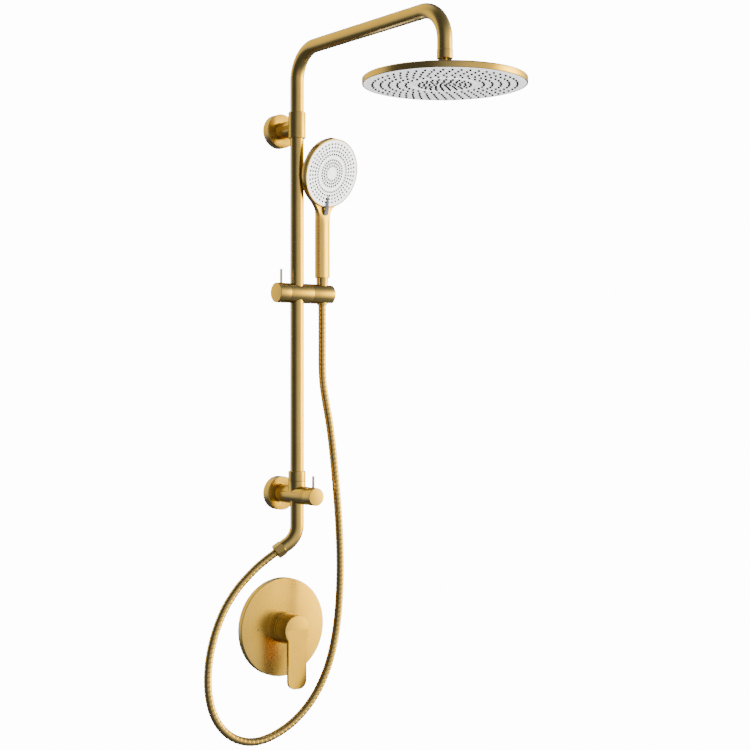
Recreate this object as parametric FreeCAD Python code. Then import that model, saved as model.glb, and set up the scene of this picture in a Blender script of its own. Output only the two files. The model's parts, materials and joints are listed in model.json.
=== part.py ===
import FreeCAD, Part
import math
import os

# Rainfall shower column: wall brackets, riser, swivelling arm with a rain head,
# sliding holder with a hand shower, diverter, hose and a separate wall valve.
# Millimetres. +X is to the right of a person facing the wall, +Y goes into the
# wall and +Z is up. The wall is the plane Y = 0, and the origin is the centre of
# the lower wall flange's back face, where the water comes in.

# ---------------------------------------------------------------- driving sizes
FIT = 0.05                 # radial running fit of a shaft or tube in its bore
CLEAR = 0.3                # gap between pieces that move past each other
WALL_GAP = 62.3            # wall to riser axis
TUBE_R = 12.0              # riser, arm and outlet tube
TUBE_WALL = 1.2
UPPER_Z = 642.6            # height of the upper bracket's axis
ARM_Z = 776.4              # height of the arm's axis
ARM_REACH = 399.0          # riser axis to drop axis
ARM_BEND_R = 54.0
ARM_END_Z = 707.0          # lower end of the drop

FLANGE_R = 30.0
FLANGE_DEPTH = 16.6
FLANGE_SHELL = 2.4
STUB_R = 14.3
SLEEVE_WALL = 3.2          # sleeve, collar and riser socket round the tube
SLEEVE_R = TUBE_R + SLEEVE_WALL
SLEEVE_LOW = 19.1          # sleeve below and above the upper bracket's axis
SLEEVE_HIGH = 26.4
STOP_T = 3.8               # ring inside the sleeve between riser and arm
BUSH_T = 1.15              # plastic liner of the sleeve
WALL_DISC_R = 25.0
WALL_DISC_T = 3.4
WALL_STUD_R = 4.0
WALL_STUD_DEPTH = 28.0     # stud that stands into the wall
WALL_STUD_SEAT_R = 3.0     # its thinner end, in the disc
STUD_RECESS_R = 7.0        # recess round the stud in the disc's back
STUD_RECESS_T = 1.0
SCREW_R = 2.0              # grub screws
SCREW_SUNK = 0.5           # their heads below the surface
STUB_SCREW_Y = 24.0        # wall to the screw that holds the bracket on its boss

BODY_R = 15.8              # horizontal diverter body
BODY_FRONT = 94.6          # wall to the body's front end
CHAMBER_R = 9.0
BONNET_T = 5.2
KNOB_R = 15.5
KNOB_FRONT = 122.0         # wall to the diverter knob's face
LEVER_PIN_R = 2.4
DIVERTER_PIN_H = 20.0      # pin above the knob's surface
DIVERTER_PIN_Y = 112.0
SOCKET_TOP = 24.0
COLLAR_TOP = 41.6
RISER_INSET = 10.2         # height at which the riser starts in its socket
INLET_R = 10.48            # half-inch pipe thread, outside
INLET_OUT = 18.0           # thread that stands into the wall
INLET_SEAT_R = 9.3         # thinner thread that screws into the body
INLET_IN = 14.0

OUTLET_DROP = 52.7         # straight outlet tube below the body's axis
OUTLET_BEND_R = 40.0
OUTLET_BEND = 56.0         # degrees from straight down
OUTLET_TURN = 20.0         # degrees from -X towards the wall
OUTLET_TAIL = 8.4          # straight tube after the bend
HOSE_NUT_AF = 23.0
HOSE_NUT_L = 16.0
THREAD_R = 9.9
THREAD_L = 9.0
HOSE_R = 7.0
HOSE_BORE = 5.0            # water bore of nuts and nipples at the hose

BAR_Z = 352.7              # slider axis at rest
BAR_R = 17.5
BODY_LEFT = 21.0           # slider body from the riser axis to each end
BODY_RIGHT = 27.0
LOCK_LEFT = 44.0
CRADLE_RIGHT = 72.0
LOCK_PIN_X = 33.0
LOCK_PIN_H = 24.0
SPINDLE_R = 4.0
SHOE_R = 5.0
PIVOT_R = 4.0
PIVOT_HEAD_R = 6.5

CONE_X = 54.0              # hand shower's vertical axis in the cradle
CONE_TOP_R = 10.8
CONE_LOW_R = 8.7
CONE_TOP_Z = 382.0
CONE_LOW_Z = 333.0
SLOT_GAP = 0.4             # cradle slot past the hose, each side

HAND_TURN = 8.0            # degrees that the spray face is turned to +X
FACE_TILT = 15.0           # degrees that the spray face looks down
FACE_Z = 564.4             # centre of the spray face
FACE_OUT = 26.0            # spray face ahead of the cone's axis, at its centre
DISC_R = 61.0
DISC_RIM = 13.5
DISC_DOME = 25.0
RING_W = 2.1
RING_T = 3.0
GRIP_W = 27.0              # handle section: flat front, round back
GRIP_FRONT = 7.8
GRIP_BACK_C = 0.8
GRIP_CORNER = 2.5
SELECTOR_IN = 39.0
SELECTOR_OUT = 73.5
SELECTOR_W = 9.0
SELECTOR_H = 7.5

HEAD_R = 127.0
HEAD_FACE_Z = 653.7
HEAD_RIM = 9.7
HEAD_WALL = 2.2
HEAD_DOME_Z = 671.0
HEAD_BOSS_R = 16.0
HEAD_BOSS_Z = 684.0
BALL_Z = 699.5
BALL_R = 7.5
SEAT_T = 1.1
BALL_STEM_R = 3.5
NUT_R = 12.5
NUT_LOW_Z = 693.2

VALVE_X = 5.2
VALVE_Z = -239.0
PLATE_R = 87.5
PLATE_DEPTH = 12.0
PLATE_SHELL = 2.4
VALVE_SLEEVE_R = 27.5
VALVE_SLEEVE_Y = 25.0      # wall to the sleeve's front
HUB_R = 26.0
LEVER_FRONT = 57.0         # wall to the lever's face
LEVER_T = 6.0
LEVER_REACH = 102.6
LEVER_W = 36.6
VALVE_BODY_R = 23.0
VALVE_DEPTH = 58.0         # valve body behind the wall
PORT_Y = 40.0
PORT_REACH = 44.0
PORT_R = 14.0
PORT_THREAD_L = 14.0
CARTRIDGE_R = 17.5

# Hose route, from the nut on the outlet to the neck below the hand shower.
# The first two points and the last two follow from the sizes above.
HOSE_POINTS = [
    (-82.0, -38.0, -135.0),
    (-107.0, -35.0, -159.0),
    (-133.0, -36.0, -191.0),
    (-154.0, -39.0, -231.0),
    (-169.0, -44.0, -277.0),
    (-174.0, -50.0, -326.0),
    (-164.0, -56.0, -372.0),
    (-136.0, -61.0, -405.0),
    (-95.0, -66.0, -420.0),
    (-51.0, -71.0, -412.0),
    (-6.0, -75.0, -388.0),
    (32.0, -78.0, -349.0),
    (60.0, -79.0, -296.0),
    (76.0, -79.0, -230.0),
    (82.0, -79.0, -151.0),
    (80.0, -79.0, -66.0),
    (73.0, -77.0, 25.0),
    (65.0, -73.0, 113.0),
    (57.5, -66.0, 169.0),
]
NECK_LOW_Z = 242.0         # where the hose's neck begins, below the cone nut
NECK_RUN = 35.0            # upright run that leads into the neck

V = FreeCAD.Vector
UP, DOWN = V(0, 0, 1), V(0, 0, -1)
TO_WALL, OUTWARD = V(0, 1, 0), V(0, -1, 0)
RIGHT, LEFT = V(1, 0, 0), V(-1, 0, 0)
RISER = V(0, -WALL_GAP, 0)
PARTS = "parts"


# ---------------------------------------------------------------- small helpers
def save(name, *solids):
    """Writes one node: a single solid, or a group of separate solids."""
    shape = solids[0] if len(solids) == 1 else Part.makeCompound(list(solids))
    shape.exportStep(os.path.join(PARTS, name + ".step"))
    print(name, round(sum(s.Volume for s in shape.Solids)), len(shape.Solids), shape.isValid())


def rod(radius, start, direction, length):
    return Part.makeCylinder(radius, length, start, direction)


def tube(outer, inner, start, direction, length):
    return rod(outer, start, direction, length).cut(rod(inner, start, direction, length))


def turned(profile, start, direction):
    """A solid of revolution. profile holds (radius, distance along the axis)."""
    points = [V(r, 0, z) for r, z in profile]
    face = Part.Face(Part.makePolygon(points + points[:1]))
    solid = face.revolve(V(0, 0, 0), UP, 360)
    solid.Placement = FreeCAD.Placement(start, FreeCAD.Rotation(UP, direction))
    return solid


def cup(outer, bore, shell, depth):
    """Flange profile: a round cup with its mouth on the wall and a bored front."""
    edge = 0.8
    return [
        (outer - shell, 0), (outer, 0), (outer, depth - edge), (outer - edge, depth),
        (bore, depth), (bore, depth - shell), (outer - shell, depth - shell),
    ]


def o_ring(major, thick, centre, direction=UP):
    return Part.makeTorus(major, thick / 2, centre, direction)


def rounded_path(points, radii):
    """Straight runs joined by tangent arcs of the given radii, as one wire."""
    edges, last = [], points[0]
    for before, corner, after, radius in zip(points, points[1:], points[2:], radii):
        to_corner = (corner - before).normalize()
        onward = (after - corner).normalize()
        half = to_corner.getAngle(onward) / 2
        cut = radius * math.tan(half)
        start, end = corner - to_corner * cut, corner + onward * cut
        inward = (onward - to_corner).normalize()
        middle = corner + inward * (radius / math.cos(half) - radius)
        edges.append(Part.LineSegment(last, start).toShape())
        edges.append(Part.Arc(start, middle, end).toShape())
        last = end
    edges.append(Part.LineSegment(last, points[-1]).toShape())
    return Part.Wire(edges)


def swept(path, radius):
    start = path.Edges[0].valueAt(path.Edges[0].FirstParameter)
    along = path.Edges[0].tangentAt(path.Edges[0].FirstParameter)
    section = Part.Wire(Part.makeCircle(radius, start, along))
    return path.makePipeShell([section], True, False)


def bent_tube(points, bend_r):
    path = rounded_path(points, [bend_r] * (len(points) - 2))
    return swept(path, TUBE_R).cut(swept(path, TUBE_R - TUBE_WALL))


# ---------------------------------------------------------------- wall brackets
def lower_bracket():
    bore = BODY_R + CLEAR / 2
    save("lower_flange", turned(cup(FLANGE_R, bore, FLANGE_SHELL, FLANGE_DEPTH), V(0, 0, 0), OUTWARD))

    back, stop = 2.0, 2.0 + INLET_IN
    body = rod(BODY_R, V(0, -back, 0), OUTWARD, BODY_FRONT - back)
    body = body.fuse(rod(SLEEVE_R, RISER, UP, SOCKET_TOP))
    body = body.cut(rod(INLET_SEAT_R, V(0, -back, 0), OUTWARD, INLET_IN))
    body = body.cut(rod(CHAMBER_R * 0.8, V(0, -stop, 0), OUTWARD, WALL_GAP - stop))
    chamber_back = WALL_GAP - TUBE_R
    body = body.cut(rod(CHAMBER_R, V(0, -chamber_back, 0), OUTWARD, BODY_FRONT - chamber_back))
    body = body.cut(rod(CHAMBER_R - 2, RISER + DOWN * BODY_R, UP, BODY_R + SOCKET_TOP))
    body = body.cut(rod(TUBE_R + FIT, RISER + UP * RISER_INSET, UP, SOCKET_TOP))
    outlet_top = CHAMBER_R + 1.2
    body = body.cut(rod(TUBE_R + FIT, RISER + DOWN * BODY_R * 2, UP, BODY_R * 2 - outlet_top))
    save("diverter_body", body)

    water_r = INLET_SEAT_R - 2.4
    nipple = tube(INLET_R, water_r, V(0, INLET_OUT, 0), OUTWARD, INLET_OUT)
    save("inlet_nipple", nipple.fuse(tube(INLET_SEAT_R - FIT, water_r, V(0, 0, 0), OUTWARD, stop)))

    bonnet_plug = 4.0
    length = BODY_FRONT - chamber_back - bonnet_plug
    cartridge = rod(CHAMBER_R - FIT, V(0, -chamber_back, 0), OUTWARD, length)
    cartridge = cartridge.cut(rod(CHAMBER_R - 3, RISER + DOWN * BODY_R, UP, 2 * BODY_R))
    save("diverter_cartridge", cartridge)
    spindle_r = 3.0
    bonnet = turned([
        (spindle_r + FIT, -bonnet_plug), (CHAMBER_R - FIT, -bonnet_plug), (CHAMBER_R - FIT, 0),
        (KNOB_R - 0.4, 0), (KNOB_R, 0.4), (KNOB_R, BONNET_T - 0.4), (KNOB_R - 0.4, BONNET_T),
        (spindle_r + FIT, BONNET_T),
    ], V(0, -BODY_FRONT, 0), OUTWARD)
    save("diverter_bonnet", bonnet)

    knob_back = BODY_FRONT + BONNET_T + CLEAR
    knob_l = KNOB_FRONT - knob_back
    socket = knob_l - 6.0
    knob = turned([
        (spindle_r, 0), (KNOB_R - 0.4, 0), (KNOB_R, 0.4), (KNOB_R, knob_l - 0.8),
        (KNOB_R - 0.8, knob_l), (0, knob_l), (0, socket), (spindle_r, socket),
    ], V(0, -knob_back, 0), OUTWARD)
    pin_foot = V(0, -DIVERTER_PIN_Y, KNOB_R / 2)
    pin_l = KNOB_R / 2 + DIVERTER_PIN_H
    save("diverter_knob", knob.cut(rod(LEVER_PIN_R, pin_foot, UP, pin_l)))
    save("diverter_knob_pin", lever_pin(pin_foot, pin_l))
    spindle_back = BODY_FRONT - bonnet_plug + 0.1
    spindle_l = knob_back + socket - spindle_back
    save("diverter_spindle", rod(spindle_r, V(0, -spindle_back, 0), OUTWARD, spindle_l))


def lever_pin(foot, length):
    """Small round lever with a rounded-off top edge."""
    edge = 0.5
    return turned([
        (0, 0), (LEVER_PIN_R, 0), (LEVER_PIN_R, length - edge), (LEVER_PIN_R - edge, length), (0, length),
    ], foot, UP)


def upper_bracket():
    axis = V(0, 0, UPPER_Z)
    bore = STUB_R + CLEAR / 2
    save("upper_flange", turned(cup(FLANGE_R, bore, FLANGE_SHELL, FLANGE_DEPTH), axis, OUTWARD))

    boss_r, boss_end, stud_in = 9.0, 32.0, 24.0
    disc = rod(WALL_DISC_R, axis, OUTWARD, WALL_DISC_T)
    disc = disc.fuse(rod(boss_r, axis, OUTWARD, boss_end))
    disc = disc.cut(rod(STUD_RECESS_R, axis, OUTWARD, STUD_RECESS_T))
    save("upper_wall_disc", disc.cut(rod(WALL_STUD_SEAT_R, axis, OUTWARD, stud_in)))
    stud = rod(WALL_STUD_R, axis + TO_WALL * WALL_STUD_DEPTH, OUTWARD, WALL_STUD_DEPTH)
    save("upper_wall_stud", stud.fuse(rod(WALL_STUD_SEAT_R - FIT, axis, OUTWARD, stud_in)))

    centre = RISER + axis
    low, high = UPPER_Z - SLEEVE_LOW, UPPER_Z + SLEEVE_HIGH
    stop_low = UPPER_Z - STOP_T / 2
    stop_high = stop_low + STOP_T
    bracket = rod(STUB_R, axis + OUTWARD * WALL_DISC_T, OUTWARD, WALL_GAP - WALL_DISC_T)
    edge = 0.6
    sleeve = turned([
        (0, 0), (SLEEVE_R - edge, 0), (SLEEVE_R, edge),
        (SLEEVE_R, high - low - edge), (SLEEVE_R - edge, high - low), (0, high - low),
    ], RISER + UP * low, UP)
    bracket = bracket.fuse(sleeve)
    bracket = bracket.cut(rod(boss_r, axis + OUTWARD * WALL_DISC_T, OUTWARD, boss_end - WALL_DISC_T + 2))
    bracket = bracket.cut(rod(TUBE_R + FIT, RISER + UP * (low - 1), UP, stop_low - low + 1))
    bracket = bracket.cut(rod(TUBE_R - TUBE_WALL, centre + DOWN * SLEEVE_LOW, UP, high - low))
    bush_r = TUBE_R + FIT + BUSH_T
    bracket = bracket.cut(rod(bush_r, RISER + UP * stop_high, UP, high))

    ring_t = 1.0
    arm_ring = o_ring(TUBE_R + FIT + ring_t / 2, ring_t, RISER + UP * (stop_high + ring_t))
    bush_low = stop_high + 2 * ring_t
    save("arm_bush", tube(bush_r, TUBE_R + FIT, RISER + UP * bush_low, UP, high - bush_low))

    stub_hole = axis + OUTWARD * STUB_SCREW_Y
    stub_l = STUB_R - boss_r - SCREW_SUNK
    aside = V(1, 1, 0).normalize()
    sleeve_screw_z = UPPER_Z - 12.0
    collar_screw_z = (SOCKET_TOP + COLLAR_TOP) / 2 + 3.0
    side_l = SLEEVE_R - TUBE_R - FIT - SCREW_SUNK
    stub_screw = rod(SCREW_R, stub_hole + DOWN * boss_r, DOWN, stub_l)
    sleeve_screw = side_screw(sleeve_screw_z, aside, side_l)
    save("set_screws", stub_screw, sleeve_screw, side_screw(collar_screw_z, aside, side_l))
    bracket = bracket.cut(rod(SCREW_R, stub_hole, DOWN, 2 * STUB_R))
    save("upper_bracket", bracket.cut(side_screw(sleeve_screw_z, aside, SLEEVE_R)))

    edge = 0.5
    height = COLLAR_TOP - SOCKET_TOP
    ring_t = 1.6
    bore = TUBE_R + FIT
    collar = turned([
        (bore + ring_t, 0), (SLEEVE_R - edge, 0), (SLEEVE_R, edge), (SLEEVE_R, height - edge),
        (SLEEVE_R - edge, height), (bore, height), (bore, 2 * ring_t), (bore + ring_t, 2 * ring_t),
    ], RISER + UP * SOCKET_TOP, UP)
    save("riser_collar", collar.cut(side_screw(collar_screw_z, aside, SLEEVE_R)))
    riser_ring = o_ring(bore + ring_t / 2, ring_t, RISER + UP * (SOCKET_TOP + ring_t))
    save("column_o_rings", riser_ring, arm_ring)
    riser_l = stop_low - RISER_INSET
    save("riser_tube", tube(TUBE_R, TUBE_R - TUBE_WALL, RISER + UP * RISER_INSET, UP, riser_l))


def side_screw(height, direction, length):
    """Grub screw in a sleeve's side with its tip on the riser, or with more length its hole."""
    return rod(SCREW_R, RISER + UP * height + direction * (TUBE_R + FIT), direction, length)


# ---------------------------------------------------------------- arm and rain head
def arm():
    drop = RISER + OUTWARD * ARM_REACH
    start = UPPER_Z + STOP_T / 2 + 0.5
    points = [RISER + UP * start, RISER + UP * ARM_Z, drop + UP * ARM_Z, drop + UP * ARM_END_Z]
    save("shower_arm", bent_tube(points, ARM_BEND_R))

    cavity_r = BALL_R + SEAT_T + 2 * CLEAR
    centre = drop + UP * BALL_Z
    cavity = Part.makeSphere(cavity_r, centre)
    thread_r, thread_z, top_z = 10.2, BALL_Z + 2.5, ARM_END_Z + 14
    nipple = rod(TUBE_R - TUBE_WALL, drop + UP * ARM_END_Z, UP, top_z - ARM_END_Z)
    nipple = nipple.fuse(rod(thread_r, drop + UP * thread_z, UP, ARM_END_Z - thread_z))
    nipple = nipple.cut(rod(HOSE_BORE, drop + UP * thread_z, UP, top_z)).cut(cavity)
    save("arm_outlet_nipple", nipple)
    save("flow_restrictor", tube(TUBE_R - TUBE_WALL, 2.5, drop + UP * top_z, UP, 3))

    edge = 0.5
    nut_l = ARM_END_Z - NUT_LOW_Z
    nut = turned([
        (0, 0), (NUT_R - edge, 0), (NUT_R, edge), (NUT_R, nut_l - edge), (NUT_R - edge, nut_l), (0, nut_l),
    ], drop + UP * NUT_LOW_Z, UP)
    nut = nut.cut(cavity).cut(rod(thread_r, drop + UP * thread_z, UP, nut_l))
    save("ball_nut", nut)

    seat = Part.makeSphere(BALL_R + CLEAR + SEAT_T, centre).cut(Part.makeSphere(BALL_R + CLEAR, centre))
    band = rod(2 * BALL_R, drop + UP * (BALL_Z - BALL_R / 2), UP, BALL_R)
    save("ball_seat", seat.common(band))

    washer_t, collar_l = 0.8, 2.7
    thread_low = HEAD_BOSS_Z - 12
    collar_z = HEAD_BOSS_Z + washer_t
    ball = Part.makeSphere(BALL_R, centre)
    ball = ball.fuse(rod(BALL_STEM_R, drop + UP * collar_z, UP, BALL_Z - collar_z))
    ball = ball.fuse(rod(9.0, drop + UP * collar_z, UP, collar_l))
    ball = ball.fuse(rod(6.0, drop + UP * thread_low, UP, collar_z - thread_low))
    ball = ball.cut(rod(2.5, drop + UP * (thread_low - 1), UP, 60))
    save("head_ball", ball)
    save("head_washer", tube(9.0, 6.0, drop + UP * HEAD_BOSS_Z, UP, washer_t))

    rim_z = HEAD_FACE_Z + HEAD_RIM
    inside = HEAD_R - HEAD_WALL
    cover = turned([
        (6.0, HEAD_BOSS_Z), (HEAD_BOSS_R - 1, HEAD_BOSS_Z), (HEAD_BOSS_R, HEAD_BOSS_Z - 1),
        (HEAD_BOSS_R, HEAD_DOME_Z + 2), (HEAD_BOSS_R + 4, HEAD_DOME_Z + 0.5),
        (HEAD_BOSS_R * 2, HEAD_DOME_Z - 0.6), (HEAD_R - 2.5, rim_z + 1.0), (HEAD_R - 0.7, rim_z + 0.3),
        (HEAD_R, rim_z - 0.6), (HEAD_R, HEAD_FACE_Z + 0.6), (HEAD_R - 0.6, HEAD_FACE_Z),
        (inside, HEAD_FACE_Z), (inside, rim_z - 1.8), (HEAD_BOSS_R * 2, HEAD_DOME_Z - 3.0),
        (HEAD_BOSS_R, thread_low - 2.6), (HEAD_BOSS_R - 4, thread_low), (6.0, thread_low),
    ], drop, UP)
    save("head_cover", cover)
    face_t, mat_t, plate_t = 2.6, 1.6, 1.0
    face_low = HEAD_FACE_Z + 0.2
    save("head_face", rod(inside, drop + UP * face_low, UP, face_t))
    mat_z = face_low + face_t
    save("head_nozzle_mat", rod(inside - 4, drop + UP * mat_z, UP, mat_t))
    save("head_back_plate", tube(inside - 4, 12.0, drop + UP * (mat_z + mat_t), UP, plate_t))


# ---------------------------------------------------------------- outlet and hose
def outlet_frame():
    """End of the outlet tube and the direction in which it points."""
    turn, bend = math.radians(OUTLET_TURN), math.radians(OUTLET_BEND)
    aside = V(-math.cos(turn), math.sin(turn), 0)
    direction = aside * math.sin(bend) + DOWN * math.cos(bend)
    corner = RISER + DOWN * (OUTLET_DROP + OUTLET_BEND_R * math.tan(bend / 2))
    tail = OUTLET_BEND_R * math.tan(bend / 2) + OUTLET_TAIL
    return corner, direction, corner + direction * tail


def outlet():
    corner, direction, end = outlet_frame()
    top = RISER + DOWN * (CHAMBER_R + 1.2)
    elbow = bent_tube([top, corner, end], OUTLET_BEND_R)
    wall_t = TUBE_R - THREAD_R + 2
    plug = tube(TUBE_R - TUBE_WALL, THREAD_R - 2.4, end - direction * wall_t, direction, wall_t)
    spigot = tube(THREAD_R, THREAD_R - 2.4, end, direction, THREAD_L)
    save("outlet_elbow", elbow.fuse(plug).fuse(spigot))

    across = HOSE_NUT_AF / math.cos(math.pi / 6) / 2
    corners = [V(across * math.cos(k * math.pi / 3), across * math.sin(k * math.pi / 3), 0) for k in range(7)]
    blank = Part.Face(Part.makePolygon(corners)).extrude(UP * HOSE_NUT_L)
    chamfer = 1.2
    blank = blank.common(turned([
        (0, 0), (across - chamfer, 0), (across, chamfer), (across, HOSE_NUT_L - chamfer),
        (across - chamfer, HOSE_NUT_L), (0, HOSE_NUT_L),
    ], V(0, 0, 0), UP))
    blank.Placement = FreeCAD.Placement(end, FreeCAD.Rotation(UP, direction))
    washer_t = 2.5
    nut = blank.cut(rod(THREAD_R, end, direction, THREAD_L + washer_t))
    nut = nut.cut(rod(HOSE_BORE, end, direction, 2 * HOSE_NUT_L))
    save("hose_nut", nut)
    save("hose_washer", tube(THREAD_R, HOSE_BORE, end + direction * THREAD_L, direction, washer_t))


def cord_radii(points):
    """Arc radii of a flexible run: 0.45 of the shorter run over the tangent of half the turn."""
    radii = []
    for before, corner, after in zip(points, points[1:], points[2:]):
        first, second = corner - before, after - corner
        half = first.getAngle(second) / 2
        radii.append(0.45 * min(first.Length, second.Length) / math.tan(half))
    return radii


def hose():
    _, direction, end = outlet_frame()
    start = end + direction * HOSE_NUT_L
    neck = RISER + V(CONE_X, 0, NECK_LOW_Z)
    points = [start, start + direction * 30.0] + [V(*p) for p in HOSE_POINTS]
    points += [neck + DOWN * NECK_RUN, neck]
    radii = cord_radii(points)
    path = rounded_path(points, radii)
    solid = swept(path, HOSE_R)
    print("hose radii", [round(r) for r in radii])
    print("hose runs", [round((b - a).Length) for a, b in zip(points, points[1:])])
    print("hose length", round(path.Length, 1), "volume ratio",
          round(solid.Volume / (math.pi * HOSE_R ** 2 * path.Length), 4))
    print("hose start", start, start + direction * 30.0)
    save("shower_hose", solid)
    save("hose_neck", rod(HOSE_R, neck, UP, CONE_LOW_Z - NECK_LOW_Z))


# ---------------------------------------------------------------- slider
def slider():
    axis = RISER + UP * BAR_Z
    edge = 0.5
    length = BODY_LEFT + BODY_RIGHT
    body = turned([
        (0, 0), (BAR_R - edge, 0), (BAR_R, edge), (BAR_R, length - edge), (BAR_R - edge, length), (0, length),
    ], axis + LEFT * BODY_LEFT, RIGHT)
    bush_r = TUBE_R + FIT + 1.2
    body = body.cut(rod(bush_r, axis + DOWN * BAR_R, UP, 2 * BAR_R))
    shoe_back = BODY_LEFT - 3.0
    body = body.cut(rod(SHOE_R + FIT, axis + LEFT * shoe_back, RIGHT, shoe_back))
    body = body.cut(rod(SPINDLE_R + FIT, axis + LEFT * BODY_LEFT, RIGHT, BODY_LEFT))
    bolt_in = BODY_RIGHT - bush_r - 0.25
    body = body.cut(rod(PIVOT_R, axis + RIGHT * (BODY_RIGHT - bolt_in + 2), RIGHT, bolt_in))
    save("slider_body", body)

    inside = math.sqrt(BAR_R ** 2 - bush_r ** 2) - 0.1
    bush = tube(bush_r, TUBE_R + FIT, axis + DOWN * inside, UP, 2 * inside)
    bush = bush.cut(rod(SHOE_R + FIT, axis + LEFT * shoe_back, RIGHT, shoe_back))
    save("slider_bush", bush)
    riser_space = rod(TUBE_R + FIT, axis + DOWN * BAR_R, UP, 2 * BAR_R)
    shoe_gap = 0.1
    shoe = rod(SHOE_R, axis + LEFT * shoe_back, RIGHT, shoe_back)
    save("brake_shoe", max(shoe.cut(riser_space).Solids, key=lambda s: -s.CenterOfMass.x))

    knob_l = LOCK_LEFT - BODY_LEFT - CLEAR
    bore_l = 15.0
    knob = turned([
        (SPINDLE_R, 0), (BAR_R - edge, 0), (BAR_R, edge), (BAR_R, knob_l - 0.8),
        (BAR_R - 0.8, knob_l), (0, knob_l), (0, bore_l), (SPINDLE_R, bore_l),
    ], axis + LEFT * (BODY_LEFT + CLEAR), LEFT)
    foot = axis + LEFT * LOCK_PIN_X + UP * BAR_R / 2
    pin_l = BAR_R / 2 + LOCK_PIN_H
    save("lock_knob", knob.cut(rod(LEVER_PIN_R, foot, UP, pin_l)))
    save("lock_knob_pin", lever_pin(foot, pin_l))
    spindle_end = BODY_LEFT + CLEAR + bore_l
    save("lock_spindle", rod(SPINDLE_R, axis + LEFT * (shoe_back + shoe_gap), LEFT,
                             spindle_end - shoe_back - shoe_gap))

    washer_t = 0.25
    head_x = BODY_RIGHT + 7.5
    bolt = rod(PIVOT_R, axis + RIGHT * (BODY_RIGHT - bolt_in + 2), RIGHT, head_x - BODY_RIGHT + bolt_in - 2)
    bolt = bolt.fuse(rod(PIVOT_HEAD_R, axis + RIGHT * head_x, RIGHT, 4.0))
    save("cradle_pivot_bolt", bolt)
    save("cradle_washer", tube(BAR_R - 4, PIVOT_R, axis + RIGHT * BODY_RIGHT, RIGHT, washer_t))

    start = BODY_RIGHT + CLEAR
    length = CRADLE_RIGHT - start
    cradle = turned([
        (0, 0), (BAR_R - edge, 0), (BAR_R, edge), (BAR_R, length - 1.5), (BAR_R - 1.5, length), (0, length),
    ], axis + RIGHT * start, RIGHT)
    cradle = cradle.cut(rod(PIVOT_R + FIT, axis + RIGHT * start, RIGHT, length / 2))
    cradle = cradle.cut(rod(PIVOT_HEAD_R + CLEAR, axis + RIGHT * (head_x - CLEAR), RIGHT, CONE_X - head_x))
    half = HOSE_R + SLOT_GAP
    cradle = cradle.cut(cone(CLEAR)).cut(rod(half, axis + V(CONE_X, 0, CONE_LOW_Z - BAR_Z), DOWN, BAR_R))
    slot = Part.makeBox(CRADLE_RIGHT, 2 * half, 4 * BAR_R, axis + V(CONE_X, -half, -2 * BAR_R))
    save("cradle", cradle.cut(slot))


def cone(extra):
    """The taper shared by the cone nut and, with a gap, by its socket."""
    foot = RISER + V(CONE_X, 0, CONE_LOW_Z)
    return Part.makeCone(CONE_LOW_R + extra, CONE_TOP_R + extra, CONE_TOP_Z - CONE_LOW_Z, foot, UP)


# ---------------------------------------------------------------- hand shower
def in_hand(shape):
    """Places a shape that was made on the cone's axis, with the face towards -Y."""
    placed = shape.copy()
    turn = FreeCAD.Placement(RISER + RIGHT * CONE_X, FreeCAD.Rotation(UP, HAND_TURN))
    placed.Placement = turn.multiply(placed.Placement)
    return placed


def face_frame():
    """Centre of the spray face and the direction in which it sprays, before the turn."""
    tilt = math.radians(FACE_TILT)
    return V(0, -FACE_OUT, FACE_Z), V(0, -math.cos(tilt), -math.sin(tilt))


def grip_section(height, shrink=0.0):
    """Handle outline at a height: flat front with round corners, straight sides, round back."""
    half, corner = GRIP_W / 2 - shrink, GRIP_CORNER
    front, back_c = -GRIP_FRONT + shrink, -GRIP_BACK_C
    arc = corner * (1 - math.sqrt(0.5))

    def at(x, y):
        return V(x, y, height)

    return Part.Wire([
        Part.LineSegment(at(-half + corner, front), at(half - corner, front)).toShape(),
        Part.Arc(at(half - corner, front), at(half - arc, front + arc),
                 at(half, front + corner)).toShape(),
        Part.LineSegment(at(half, front + corner), at(half, back_c)).toShape(),
        Part.Arc(at(half, back_c), at(0, back_c + half), at(-half, back_c)).toShape(),
        Part.LineSegment(at(-half, back_c), at(-half, front + corner)).toShape(),
        Part.Arc(at(-half, front + corner), at(-half + arc, front + arc),
                 at(-half + corner, front)).toShape(),
    ])


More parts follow.
